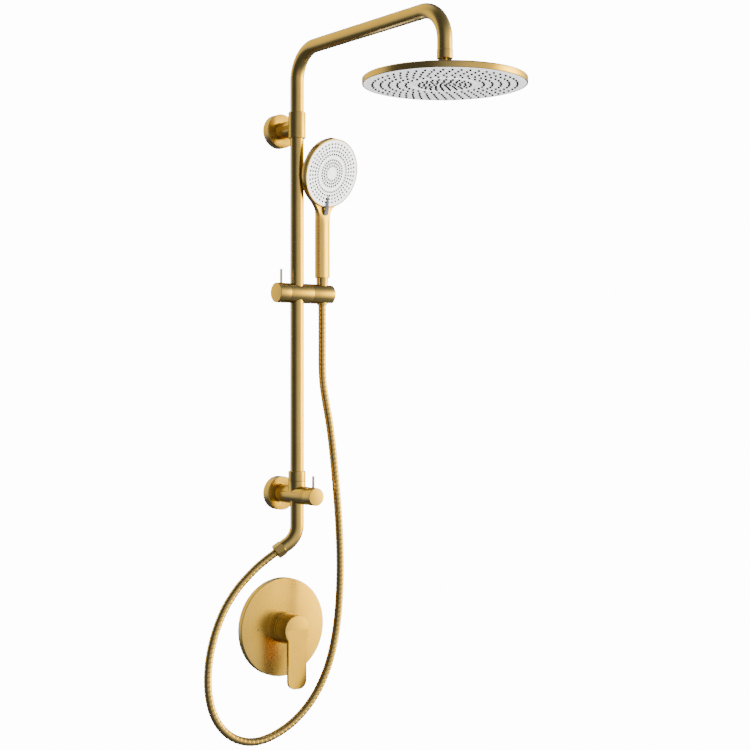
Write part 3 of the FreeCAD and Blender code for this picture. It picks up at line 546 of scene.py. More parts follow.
def build_diverter(scene):
    """Level diverter body with its riser socket, bonnet ring, knob and pin."""
    edge = scene.shower_sizes.edge
    front = -span("diverter_bonnet")[0][1]
    ring_l = 5.2 * MM
    body_front = front - ring_l
    back = 2 * MM
    body = solid_rod(BODY_R, -Y * back, -Y, body_front - back, 0.3 * MM)
    socket = solid_rod(SLEEVE_R, RISER, Z, span("riser_collar")[0][2], 0, 0.3 * MM)
    chamber = solid_rod(9 * MM, -Y * 50 * MM, -Y, body_front)
    bore = solid_rod(TUBE_R + FIT, RISER + Z * span("riser_tube")[0][2], Z, 60 * MM)
    below = solid_rod(TUBE_R + FIT, RISER - Z * OUTLET_TOP, -Z, 30 * MM)
    made = carved(body, [socket], [chamber, bore, below])
    piece("diverter", made, "root", ["diverter_body"], *TURNED_GOLD)

    bonnet = sleeve(KNOB_R, 3.2 * MM, -Y * body_front, -Y, ring_l, 0.5 * MM)
    piece("bonnet_ring", bonnet, "root", ["diverter_bonnet"], *TURNED_GOLD)
    low, high = span("diverter_knob")
    length = high[1] - low[1]
    pin_y = middle("diverter_knob_pin")[1]
    knob = solid_rod(KNOB_R, Y * high[1], -Y, length, 0.4 * MM, 1.5 * edge)
    spindle = solid_rod(3 * MM, Y * (high[1] + MM), -Y, length - 5 * MM)
    hole = solid_rod(PIN_R, Y * pin_y + Z * KNOB_R / 2, Z, KNOB_R, columns=SMALL)
    knob = carved(knob, [], [spindle, hole])
    piece("diverter_grip", knob, "diverter_knob", ["diverter_knob"], *TURNED_GOLD)
    build_pin("diverter_knob_pin", "diverter_knob", edge)


def build_pin(node, body, edge):
    """Upright round pin of a knob, with a rounded top."""
    low, high = span(node)
    centre = middle(node) * (1, 1, 0) + Z * low[2]
    pin = solid_rod(PIN_R, centre, Z, high[2] - low[2], 0, 1.4 * edge, SMALL)
    piece(node + "_round", pin, body, [node], *LONG_GOLD)


def build_upper_bracket(scene):
    """Stub from the upper flange with the upright sleeve that joins riser and arm."""
    edge = scene.shower_sizes.edge
    low, high = span("upper_bracket")
    axis = Z * UPPER_Z
    disc_t, boss_r, boss_end = 3.4 * MM, 9 * MM, 34 * MM
    stub = solid_rod(STUB_R, axis - Y * disc_t, -Y, -RISER[1] - disc_t)
    outer = solid_rod(SLEEVE_R, RISER + Z * low[2], Z, high[2] - low[2], edge)
    boss = solid_rod(boss_r, axis, -Y, boss_end)
    stop = 1.9 * MM
    below = solid_rod(TUBE_R + FIT, RISER + Z * (low[2] - MM), Z, UPPER_Z - stop - low[2] + MM)
    above = solid_rod(TUBE_R + 1.2 * MM, RISER + Z * (UPPER_Z + stop), Z, 60 * MM)
    water = solid_rod(TUBE_R - TUBE_WALL, RISER + Z * (UPPER_Z - 5 * MM), Z, 10 * MM)
    made = carved(outer, [stub], [boss, below, above, water])
    piece("upper_sleeve", made, "root", ["upper_bracket"], *TURNED_GOLD)


def build_arm(scene):
    """Arm: up out of the sleeve, out level and down to the rain head, one bent tube."""
    foot = UPPER_Z + 2.4 * MM
    corners = [
        (*RISER[:2], foot, 0), (*RISER[:2], ARM_Z, ARM_BEND_R),
        (*DROP[:2], ARM_Z, ARM_BEND_R), (*DROP[:2], ARM_LOW_Z, 0),
    ]
    arm = swept(with_ends(rounded(corners, 32)), TUBE_R, X, 96)
    piece("arm_tube", arm, "arm", ["shower_arm"], *LONG_GOLD)
    nut_low = span("ball_nut")[0][2]
    height = ARM_LOW_Z - nut_low
    nut_r = half_width("ball_nut")
    edge = scene.shower_sizes.edge
    mouth_r, waist_r, bore_r = 6.1 * MM, 8.8 * MM, 8 * MM
    waist, shoulder = 6.3 * MM, 10.5 * MM
    nut = turned([
        (mouth_r, 0, 0), (nut_r, 0, edge), (nut_r, height, edge), (bore_r, height, 0),
        (bore_r, shoulder, 0), (waist_r, waist, 2 * MM),
    ], DROP + Z * nut_low, Z, loop=True, columns=96)
    piece("swivel_nut", nut, "arm", ["ball_nut"], *TURNED_GOLD)


def with_ends(path):
    """Adds a point just inside each end, so that the end circles stand square to the end runs."""
    first = path[0] + unit(path[1] - path[0]) * 0.1 * MM
    last = path[-1] + unit(path[-2] - path[-1]) * 0.1 * MM
    return np.concatenate([path[:1], first[None], path[1:-1], last[None], path[-1:]])


# ---- rain head
def nozzles(rings, stagger, radius, height, centre, normal, sunk):
    """Rubber nozzles on rings: nozzle k of n on a ring of radius R stands at R·(cos, sin)(2π(k + s)/n),
    with s growing by the stagger from ring to ring. Each is a low cone with a sunk hole, carried out
    along the face's normal."""
    e1, e2 = cross_axes(normal)
    ring = np.repeat([r for r, n in rings], [n for r, n in rings])
    turn = np.concatenate([
        (np.arange(n) + stagger * k) * 2 * math.pi / n for k, (r, n) in enumerate(rings)])
    feet = centre + ring[:, None] * (np.cos(turn)[:, None] * e1 + np.sin(turn)[:, None] * e2)
    floor = 0.2 * height
    shape = np.array([
        (1.0, -sunk), (1.0, 0.0), (0.86, height), (0.5, height), (0.4, floor), (0.0, floor),
    ]) * (radius, 1.0)
    sides = 8
    t = np.arange(sides) * 2 * math.pi / sides
    circle = np.cos(t)[:, None] * e1 + np.sin(t)[:, None] * e2
    bottom = np.broadcast_to(-sunk * normal, (1, sides, 3))
    cone = shape[:, 0, None, None] * circle + shape[:, 1, None, None] * normal
    cone = np.concatenate([bottom, cone])
    points = feet[:, None, None] + cone
    count, rows = len(feet), len(cone)
    i, j = np.meshgrid(np.arange(rows - 1), np.arange(sides), indexing="ij")
    face = np.stack([i * sides + j, i * sides + (j + 1) % sides,
                     (i + 1) * sides + (j + 1) % sides, (i + 1) * sides + j], -1).reshape(-1, 4)
    index = (np.arange(count)[:, None, None] * rows * sides + face).reshape(-1, 4)
    mesh = bpy.data.meshes.new("nozzles")
    mesh.from_pydata(points.reshape(-1, 3), [], index)
    return tidied(mesh)


def build_rain_head(scene):
    """Rain head: domed cover, white face, and its rubber nozzles."""
    sizes = scene.shower_sizes
    rim = 9.7 * MM
    inside = HEAD_R - 2.2 * MM
    dome, boss = 17.3 * MM, HEAD_TOP_Z - HEAD_Z
    bore, boss_r = 6 * MM, 16 * MM
    cover = turned([
        (bore, boss, 0), (boss_r, boss, 1.4 * MM), (boss_r, dome + 0.8 * MM, 3 * MM),
        (34 * MM, dome - 0.8 * MM, 16 * MM), (HEAD_R - 2 * MM, rim + 1.0 * MM, 4 * MM),
        (HEAD_R, rim - 0.8 * MM, 1.2 * MM), (HEAD_R, 0, 0.7 * MM), (inside, 0, 0.3 * MM),
        (inside, rim - 1.8 * MM, 0), (32 * MM, dome - 3 * MM, 0), (bore, dome - 3 * MM, 0),
    ], DROP + Z * HEAD_Z, Z, loop=True, columns=192)
    piece("rain_cover", cover, "rain_head", ["head_cover"], *TURNED_GOLD)
    low, high = span("head_face")
    thick = high[2] - low[2]
    face_r = inside - 0.1 * MM
    step = 0.5 * MM
    face = turned([
        (0, thick, 0), (face_r, thick, 0), (face_r, 0, 0.4 * MM), (face_r - 6 * MM, 0, 0),
        (51.5 * MM, 0, 0.2 * MM), (51 * MM, step, 0.2 * MM), (47 * MM, step, 0.2 * MM),
        (46.5 * MM, 0, 0.2 * MM), (0, 0, 0),
    ], DROP + Z * low[2], Z, columns=192)
    piece("rain_face", face, "rain_head", ["head_face"], "white_plastic", "white_face")
    dots = nozzles(RAIN_RINGS, 0.5, sizes.nozzle_radius, sizes.nozzle_height,
                   DROP + Z * low[2], -Z, 0.4 * MM)
    piece("rain_nozzles", dots, "rain_head", [], "seal_rubber", "grey_rubber")


# ---- slider
def build_slider(scene):
    """Slider body, lock knob and pin, and the open cradle that holds the hand shower."""
    edge = scene.shower_sizes.edge
    axis = RISER + Z * BAR_Z

    def along(x):
        return np.array([x, axis[1], axis[2]])

    low, high = span("slider_body")
    body = solid_rod(BAR_R, along(low[0]), X, high[0] - low[0], edge)
    bush_r = TUBE_R + 1.25 * MM
    bore = solid_rod(bush_r, axis - Z * 1.5 * BAR_R, Z, 3 * BAR_R)
    shoe = solid_rod(5.05 * MM, axis - X * 18 * MM, X, 18 * MM)
    spindle = solid_rod(4.05 * MM, axis - X * 30 * MM, X, 30 * MM)
    bolt = solid_rod(4 * MM, axis + X * 15.5 * MM, X, 20 * MM)
    made = carved(body, [], [bore, shoe, spindle, bolt])
    piece("slide_body", made, "slider", ["slider_body"], *TURNED_GOLD)

    low, high = span("lock_knob")
    length = high[0] - low[0]
    knob = solid_rod(BAR_R, along(high[0]), -X, length, edge, 1.5 * edge)
    bore = solid_rod(4 * MM, along(high[0] + MM), -X, 16 * MM)
    pin_x = middle("lock_knob_pin")[0]
    foot = along(pin_x) + Z * BAR_R / 2
    hole = solid_rod(PIN_R, foot, Z, BAR_R, columns=SMALL)
    knob = carved(knob, [], [bore, hole])
    piece("lock_grip", knob, "lock_knob", ["lock_knob"], *TURNED_GOLD)
    build_pin("lock_knob_pin", "lock_knob", edge)

    low, high = span("cradle")
    length = high[0] - low[0]
    start = along(low[0])
    holder = solid_rod(BAR_R, start, X, length, edge, 2.4 * edge)
    gap = 0.3 * MM
    socket = turned([
        (0, 0, 0), (CONE_LOW_R + gap, 0, 0), (CONE_TOP_R + gap, CONE_TOP_Z - CONE_LOW_Z, 0),
        (0, CONE_TOP_Z - CONE_LOW_Z, 0),
    ], CONE + Z * CONE_LOW_Z, Z)
    half = HOSE_R + 0.4 * MM
    slot = box_mesh((CONE[0], CONE[1] - half, BAR_Z - 2 * BAR_R),
                    (high[0] + BAR_R, CONE[1] + half, BAR_Z + 2 * BAR_R))
    pivot = solid_rod(4.05 * MM, start - X * MM, X, 9 * MM)
    recess = solid_rod(6.8 * MM, start + X * 6.9 * MM, X, CONE[0] - low[0] - 6.9 * MM)
    made = carved(holder, [], [socket, slot, pivot, recess])
    piece("open_cradle", made, "cradle", ["cradle"], *TURNED_GOLD)


def box_mesh(low, high):
    """A box: two rectangles, closed at both ends."""
    low, high = np.asarray(low, float), np.asarray(high, float)
    middle_point = (low + high) / 2
    square = np.array([(low[0], low[1]), (high[0], low[1]), (high[0], high[1]), (low[0], high[1])])
    rows = [np.c_[square, np.full(4, height)] for height in (low[2], high[2])]
    caps = [np.tile((*middle_point[:2], height), (4, 1)) for height in (low[2], high[2])]
    return surface(np.array([caps[0], rows[0], rows[1], caps[1]]))


# ---- hand shower
def in_hand(points):
    """Turns points that were laid out on the cone's axis by the hand shower's turn about it."""
    c, s = math.cos(HAND_TURN), math.sin(HAND_TURN)
    return points @ np.array([[c, -s, 0], [s, c, 0], [0, 0, 1]]).T + CONE


FACE_DOWN = np.array([0, math.sin(FACE_TILT), -math.cos(FACE_TILT)])
FACE_BACK = np.array([0, math.cos(FACE_TILT), math.sin(FACE_TILT)])
FACE_CENTRE = np.array([0, -FACE_OUT, FACE_Z])
HAND_CENTRE = in_hand(FACE_CENTRE)
HAND_BACK = in_hand(FACE_BACK) - CONE


def shell_points():
    """Grid of the hand shower's shell. Row s is a distance down the face from its centre, x the
    distance across. The half width is √(R² − s²) on the disc, then a cubic down to the handle's. The
    front is the plane behind the ring, turning upright along the handle. The depth behind it is the
    larger of a dome, rim + crown·(1 − (r/R)^2.2), and a round-backed handle, side + √(w² − x²), run
    together smoothly, and the handle's front bows: its middle stands out by m and it falls back from
    there by b·(x/w)². At distance e from the edge both sides are rounded by c − √(c² − (c − e)²)."""
    radius = DISC_R
    top = -radius * np.cos(np.linspace(0, math.pi / 2, 40))
    foot = radius + (FACE_CENTRE[2] + FACE_DOWN[2] * radius + FACE_BACK[2] * RING_T - CONE_TOP_Z)
    s = np.concatenate([top, np.arange(1.5, 96, 1.5) * MM, np.linspace(97 * MM, foot, 24)])[:, None]
    join, neck = 52 * MM, 84 * MM
    width = np.sqrt(np.maximum(radius ** 2 - np.minimum(s, join) ** 2, 0))
    run = neck - join
    t = np.clip((s - join) / run, 0, 1)
    start_w, slope = math.sqrt(radius ** 2 - join ** 2), -join / math.sqrt(radius ** 2 - join ** 2)
    cubic = ((2 * t ** 3 - 3 * t ** 2 + 1) * start_w + (t ** 3 - 2 * t ** 2 + t) * run * slope
             + (3 * t ** 2 - 2 * t ** 3) * GRIP_HALF)
    width = np.where(s > join, cubic, width)
    turn = np.linspace(0, math.pi, 49)
    share = np.r_[np.cos(turn)[::-1], np.cos(turn)][None]
    is_back = np.r_[np.zeros(49, bool), np.ones(49, bool)][None]
    x = width * share
    r = np.sqrt(x ** 2 + s ** 2)
    slant = np.gradient(width[:, 0], s[:, 0])[:, None]
    edge = np.where(s <= join, radius - r, (width - abs(x)) / np.sqrt(1 + slant ** 2))
    edge = np.maximum(edge, 0)
    rim, crown, power = 10.5 * MM, 11.5 * MM, 2.2
    dome = rim + crown * (1 - (np.minimum(r, radius) / radius) ** power)
    dome = dome + (GRIP_SIDE - dome) * smooth(s, 58 * MM, neck)
    ridge = GRIP_SIDE - 3.5 * MM * (1 - smooth(s, 12 * MM, 70 * MM))
    handle = ridge + np.sqrt(np.maximum(GRIP_HALF ** 2 - x ** 2, 0))
    soft = 0.3 * MM + 5.7 * MM * (1 - smooth(s, 55 * MM, 92 * MM))
    depth = (dome + handle + np.sqrt((dome - handle) ** 2 + soft ** 2) - soft * 0.5) / 2
    front_c = 0.8 * MM + 0.4 * MM * smooth(s, 55 * MM, 80 * MM)
    back_c = 0.4 * MM + 1.8 * MM * (1 - smooth(s, 60 * MM, 88 * MM))
    front = front_c - np.sqrt(np.maximum(front_c ** 2 - np.maximum(front_c - edge, 0) ** 2, 0))
    back = depth - back_c + np.sqrt(np.maximum(back_c ** 2 - np.maximum(back_c - edge, 0) ** 2, 0))
    bow, stand_out = 4.0 * MM, 2.2 * MM
    bowed = smooth(s, 60 * MM, 95 * MM) * (bow * (x / np.maximum(width, MM)) ** 2 - stand_out)
    inward = np.where(is_back, back, front + bowed)
    upright = smooth(s, 48 * MM, 76 * MM)[..., None]
    on_disc = FACE_CENTRE + FACE_BACK * RING_T + s[..., None] * FACE_DOWN
    corner = FACE_CENTRE + FACE_BACK * RING_T + radius * FACE_DOWN
    on_grip = np.array([0, -GRIP_FRONT, corner[2]]) - (s[..., None] - radius) * Z
    base = on_disc + (on_grip - on_disc) * upright
    normal = unit(FACE_BACK + (Y - FACE_BACK) * upright)
    points = base + x[..., None] * X + inward[..., None] * normal
    cap = np.repeat(points[-1:].mean(axis=1, keepdims=True), points.shape[1], axis=1)
    return in_hand(np.concatenate([points, cap]))


def build_hand_shower(scene):
    """Hand shower: one-piece shell and handle, selector ring and lever, white face, nozzles and nut."""
    sizes = scene.shower_sizes
    shell = surface(shell_points())
    cavity_r = DISC_R - RING_W - 2 * MM
    cavity = solid_rod(cavity_r, HAND_CENTRE, HAND_BACK, 11 * MM)
    shell = carved(shell, [], [cavity])
    piece("hand_shell", shell, "hand_shower", ["hand_shower_shell"], "gold_plastic", "satin_gold_plastic")

    ring_in = DISC_R - RING_W
    depth = RING_T - 0.3 * MM
    ring = turned([
        (ring_in, 0, 0.5 * MM), (DISC_R, 0, 0.9 * MM), (DISC_R, depth, 0), (ring_in, depth, 0),
    ], HAND_CENTRE, HAND_BACK, loop=True, columns=160)
    piece("spray_ring", ring, "spray_selector", ["selector_ring"], "gold_plastic", "satin_gold")

    face_r = ring_in - 0.3 * MM
    sunk = 0.3 * MM
    thick = RING_T - 0.6 * MM
    face = turned([
        (0, thick, 0), (face_r, thick, 0), (face_r, 0, 0.3 * MM), (31.5 * MM, 0, 0.3 * MM),
        (31 * MM, 0.6 * MM, 0.2 * MM), (27.5 * MM, 0.6 * MM, 0.2 * MM), (27 * MM, 0, 0.3 * MM),
        (9.4 * MM, 0, 0.2 * MM), (9.0 * MM, 0.5 * MM, 0.2 * MM), (8.4 * MM, 0.5 * MM, 0.2 * MM),
        (8.0 * MM, 0.1 * MM, 0.2 * MM), (0, 0, 0),
    ], HAND_CENTRE + HAND_BACK * sunk, HAND_BACK, columns=160)
    piece("spray_face", face, "hand_shower", ["hand_shower_face"], "white_plastic", "white_face")
    dots = nozzles(HAND_RINGS, 0.0, 2.05 * MM, 0.22 * MM,
                   HAND_CENTRE + HAND_BACK * sunk, -HAND_BACK, 0.3 * MM)
    piece("spray_nozzles", dots, "hand_shower", [], "seal_rubber", "grey_rubber")
    build_selector()

    length = CONE_TOP_Z - CONE_LOW_Z
    seat_r, seat_l = 7.6 * MM, 23 * MM
    nut = turned([
        (HOSE_BORE, 0, 0), (CONE_LOW_R, 0, 0.8 * MM), (CONE_TOP_R - 0.1 * MM, length - 0.2 * MM, 0.5 * MM),
        (seat_r, length, 0), (seat_r, length - seat_l, 0), (HOSE_BORE, length - seat_l, 0),
    ], CONE + Z * CONE_LOW_Z, Z, loop=True, columns=96)
    piece("cone_nut", nut, "hand_shower", ["hose_cone_nut"], *TURNED_GOLD)


def build_selector():
    """Selector lever: a wedge over the face's lower edge. At distance p down the face its half width
    grows in proportion from a point, and its height is that of a roof with a rounded ridge."""
    start, rim, end = 39 * MM, DISC_R, 73.5 * MM
    tall, lift = 7.5 * MM, 1.9 * MM
    p = np.r_[np.linspace(start, rim, 24), np.linspace(rim, end, 12)[1:]][:, None]
    half = np.interp(p, [start, rim, end], [0.6 * MM, 3.8 * MM, 4.5 * MM])
    top = np.interp(p, [start, rim, end - 2 * MM, end], [0.8 * MM, tall, 0.9 * tall, 0.6 * tall])
    under = np.interp(p, [start, rim - RING_W, rim - RING_W + 0.01 * MM, rim, rim + 0.01 * MM, end],
                      [0.3 * MM, 0.3 * MM, 0, 0, lift, lift])
    side = np.linspace(-1, 1, 17)[None]
    roof = under + (top - under) * (1 - 0.62 * abs(side) ** 1.3)
    ridge = FACE_CENTRE + p[..., None] * FACE_DOWN
    upper = ridge + (half * side)[..., None] * X - roof[..., None] * FACE_BACK
    lower = ridge + (half * side[:, ::-1])[..., None] * X - under[..., None] * FACE_BACK
    rows = np.concatenate([upper, lower], axis=1)
    caps = rows[[0, -1]].mean(axis=1, keepdims=True) + 0 * rows[[0, -1]]
    wedge = surface(in_hand(np.concatenate([caps[:1], rows, caps[1:]])))
    piece("spray_lever", wedge, "spray_selector", ["selector_lever"], "grey_plastic", "lever_grey")


# ---- outlet and hose
def outlet_frame():
    """The outlet tube's corner, its end, and the direction in which it points."""
    aside = np.array([-math.cos(OUTLET_TURN), math.sin(OUTLET_TURN), 0])
    direction = aside * math.sin(OUTLET_BEND) - Z * math.cos(OUTLET_BEND)
    cut = OUTLET_BEND_R * math.tan(OUTLET_BEND / 2)
    corner = RISER - Z * (OUTLET_DROP + cut)
    return corner, direction, corner + direction * (cut + OUTLET_TAIL)


def build_outlet(scene):
    """Bent outlet below the diverter and the hexagon nut that holds the hose."""
    corner, direction, end = outlet_frame()
    top = RISER - Z * OUTLET_TOP
    path = rounded([(*top, 0), (*corner, OUTLET_BEND_R), (*end, 0)], 32)
    across = np.cross(direction, Z)
    elbow = swept(with_ends(path), TUBE_R, across / np.linalg.norm(across), 96)
    piece("outlet", elbow, "root", ["outlet_elbow"], *LONG_GOLD)
    nut = hex_nut(end, direction)
    piece("hex_nut", nut, "root", ["hose_nut"], *SATIN_GOLD)


def hex_nut(centre, direction):
    """Hexagon nut: at turn t the flats lie at a/cos(u), u the turn from the nearest flat's middle and
    a half the width across flats, and the ends are cut by 45 degree cones."""
    half = NUT_AF / 2
    tip = half / math.cos(math.pi / 6)
    sides = 96
    t = np.arange(sides) * 2 * math.pi / sides
    flat = half / np.cos(t % (math.pi / 3) - math.pi / 6)
    cone = 1.4 * MM
    h = np.r_[0, np.linspace(0.05, 1, 9) * cone, NUT_L / 2]
    h = np.r_[h, NUT_L - h[-2::-1]][:, None]
    chamfer = tip - cone + np.minimum(h, NUT_L - h)
    radius = np.minimum(flat[None], chamfer)
    bore = np.full((1, sides), HOSE_BORE)
    radius = np.concatenate([bore, radius, bore])
    h = np.concatenate([h[:1], h, h[-1:]])
    e1, e2 = cross_axes(direction)
    circle = np.cos(t)[:, None] * e1 + np.sin(t)[:, None] * e2
    points = centre + h[..., None] * direction + radius[..., None] * circle[None]
    return surface(points, loop_rows=True)


def hose_line():
    """Points of the hose's smooth line, read from a NURBS curve with the route as its control points."""
    curve = bpy.data.curves.new("hose_line", "CURVE")
    curve.dimensions = "3D"
    spline = curve.splines.new("NURBS")
    spline.points.add(len(HOSE_ROUTE) - 1)
    spline.points.foreach_set("co", np.c_[HOSE_ROUTE, np.ones(len(HOSE_ROUTE))].ravel())
    spline.order_u = 3
    spline.use_endpoint_u = True
    spline.resolution_u = 24
    holder = placed("hose_line", curve)
    mesh = evaluated(holder)
    line = np.empty(len(mesh.vertices) * 3, np.float32)
    mesh.vertices.foreach_get("co", line)
    bpy.data.objects.remove(holder)
    bpy.data.meshes.remove(mesh)
    return line.reshape(-1, 3).astype(float)


def evenly(line, step):
    """The same line with its points spread evenly along it, and their distances from its start."""
    distance = np.r_[0, np.cumsum(np.linalg.norm(np.diff(line, axis=0), axis=1))]
    at = np.linspace(0, distance[-1], round(distance[-1] / step) + 1)
    return np.stack([np.interp(at, distance, line[:, k]) for k in range(3)], 1), at


def wound_hose(line, start, sizes, columns=32):
    """Strip-wound metal hose. At distance s and turn t the radius is R less the seam's depth times a
    power of how far the point is from the middle of its winding, whose share is s/pitch − t/2π, and
    less a slight lean across each winding. Both ends run out to a plain circle."""
    rows = 14                  # circles to each winding
    path, at = evenly(line, sizes.rib_pitch / rows)
    t = np.arange(columns) * 2 * math.pi / columns
    share = ((at[:, None] + start) / sizes.rib_pitch - t / (2 * math.pi)) % 1
    seam = abs(2 * share - 1) ** 10
    lean = 0.18 * MM * (1 - share)
    radius = HOSE_R - sizes.rib_depth * seam - lean
    ease = smooth(np.minimum(at, at[-1] - at)[:, None], 0, 2 * MM)
    radius = radius * ease + (HOSE_R - 0.4 * MM) * (1 - ease)
    return swept(path, radius, Y, columns), path, at[-1]


def build_hose(scene):
    """Metal hose, hanging from the outlet's nut to the hand shower, and its neck in the cradle."""
    sizes = scene.shower_sizes
    mesh, path, length = wound_hose(hose_line(), 0.0, sizes)
    hose = piece("hose", mesh, None, ["shower_hose"], "hose_gold", "wound_gold")
    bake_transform(hose)
    upright = np.stack([CONE + Z * NECK_Z, CONE + Z * CONE_LOW_Z])
    mesh, path, _ = wound_hose(upright, length, sizes)
    neck = piece("neck", mesh, None, ["hose_neck"], "hose_gold", "wound_gold")
    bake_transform(neck)


# ---- wall valve
def paddle_mesh(half, tip_r, thick, edge):
    """Lever's paddle: a rounded outline in the wall's plane, carried outwards in rows that draw in by
    the rounding of the front and back edges, with closed faces."""
    reach = LEVER_TIP
    outline = rounded([
        (-half, 0, 0.01 * MM), (half, 0, 0.01 * MM), (half, -reach, tip_r), (-half, -reach, tip_r),
    ], 16, loop=True)
    normal = unit(np.roll(outline, -1, 0) - np.roll(outline, 1, 0)) @ np.array([[0, -1], [1, 0]])
    turn = np.linspace(0, math.pi / 2, 6)
    inset = np.r_[edge * (1 - np.sin(turn)), edge * (1 - np.cos(turn))]
    rise = np.r_[edge * (1 - np.cos(turn)), thick - edge + edge * np.sin(turn)]
    flat = outline[None] - inset[:, None, None] * normal[None]
    centre = np.tile(outline.mean(0), (1, len(outline), 1))
    flat = np.concatenate([centre, flat, centre])
    rise = np.r_[rise[0], rise, rise[-1]]
    back = LEVER_Y + thick
    points = np.stack([VALVE[0] + flat[..., 0], back - rise[:, None] + 0 * flat[..., 0],
                       VALVE[2] + flat[..., 1]], -1)
    return surface(points)


def build_wall_valve(scene):
    """Wall valve: round trim plate, sleeve, lever with its hub, and a plain dark mark."""
    edge = scene.shower_sizes.edge
    depth = -PLATE_Y
    bore = 23.3 * MM
    plate = turned([
        (PLATE_R - SHELL, 0, 0), (PLATE_R, 0, 0), (PLATE_R, depth, 2 * edge), (bore, depth, 0),
        (bore, depth - SHELL, 0), (PLATE_R - SHELL, depth - SHELL, 0),
    ], VALVE, -Y, loop=True, columns=192)
    piece("valve_plate", plate, "root", ["trim_plate"], *SATIN_GOLD)
    front = -span("trim_sleeve")[0][1]
    sleeve_r = half_width("trim_sleeve")
    ring = turned([
        (bore, 0, 0), (sleeve_r, 0, 0), (sleeve_r, front - depth, edge), (bore, front - depth, 0),
    ], VALVE - Y * depth, -Y, loop=True)
    piece("valve_sleeve", ring, "root", ["trim_sleeve"], *TURNED_GOLD)

    hub_r, hub_back = 26 * MM, -span("valve_lever")[1][1]
    hub = solid_rod(hub_r, VALVE - Y * hub_back, -Y, -LEVER_Y - hub_back, edge, 1.4 * edge)
    half = 18.3 * MM
    paddle = paddle_mesh(half, 14 * MM, 6 * MM, 1.2 * edge)
    stem = solid_rod(5 * MM, VALVE - Y * (hub_back - MM), -Y, 17 * MM)
    foot = VALVE - Y * (hub_back + 9 * MM) - Z * (hub_r + MM)
    screw = solid_rod(2 * MM, foot, Z, hub_r, columns=24)
    lever = carved(hub, [paddle], [stem, screw])
    piece("lever", lever, "valve_lever", ["valve_lever"], *SATIN_GOLD)

    spot = VALVE - X * 53 * MM + Y * PLATE_Y
    mark = solid_rod(1.7 * MM, spot, -Y, 0.12 * MM, columns=24)
    piece("hot_mark", mark, "root", [], "gold_metal", "dark_mark")


# ---- inner nodes
SLOT_FINISH = {
    "gold_metal": "satin_gold", "gold_plastic": "satin_gold", "grey_plastic": "lever_grey",
    "bare_brass": "machined_brass", "stainless": "stainless_steel", "white_plastic": "white_face",
    "inner_plastic": "moulded_inner", "seal_rubber": "black_rubber", "hose_gold": "wound_gold",
}


def build_inner(scene):
    """Gives every carried-over CAD node the procedural finish of its material slot."""
    slots = {entry["node"]: entry["material_slot"] for entry in frame["record"]["subparts"]}
    for name, node in frame["nodes"].items():
        finish = material(SLOT_FINISH[slots[name]])
        node.data.materials.clear()
        node.data.materials.append(finish)


# ---- stage
CAMERA = np.array([-1.4199, -2.1300, 0.2096])
CAMERA_YAW = math.radians(-37.6)
LENS = 68.684              # in millimetres, on a sensor 36 mm wide
FLOOR_R, FLOOR_T, FLOOR_DROP = 2.2, 0.01, 1.15
FADE_FROM, FADE_TO = 1.0, 2.1

# Strengths of the studio's parts.
AMBIENT = 0.11             # from everywhere
GLOW = 1.4                 # broad, growing to the right
STRIP = 13.0               # narrow, at the right
CORNER = 2.5               # at the right and behind
BACK_LEFT = 1.6            # at the left and behind
BACKDROP = 14.0            # what the camera sees by itself


def build_stage(scene):
    """Camera, pale floor, and a soft studio that is bright at the right and dark at the left."""
    camera = bpy.data.cameras.new("camera")
    camera.lens, camera.sensor_width = LENS, 36.0
    camera.clip_start, camera.clip_end = 0.05, 50.0
    holder = placed("camera", camera)
    holder.location = CAMERA
    holder.rotation_euler = (math.pi / 2, 0, CAMERA_YAW)
    scene.camera = holder
    build_floor()
    build_world(scene)
    build_lights(scene)


def build_floor():
    """Pale round floor below the piece, not mirrored in the metal; its edge fades out over the last
    metre."""
    disc = turned([
        (0, 0, 0), (FLOOR_R, 0, 0), (FLOOR_R, -FLOOR_T, 0), (0, -FLOOR_T, 0),
    ], RISER - FLOOR_DROP * Z, Z)
    made = bpy.data.materials.new("pale_floor")
    graph = Graph(made)
    place = graph.node("TexCoord").outputs["Object"]
    level = graph.node("VectorMath", {"operation": "MULTIPLY"}, {0: place, 1: (1.0, 1.0, 0.0)})
    reach = graph.node("VectorMath", {"operation": "LENGTH"}, {0: level.outputs[0]})
    far = Field(graph, reach.outputs["Value"])
    graph.principled({
        "Base Color": (0.86, 0.86, 0.85, 1.0), "Roughness": 0.9,
        "Alpha": 1 - far.step(FADE_FROM, FADE_TO)})
    disc.materials.append(made)
    floor = placed("floor", disc)
    floor.visible_glossy = False


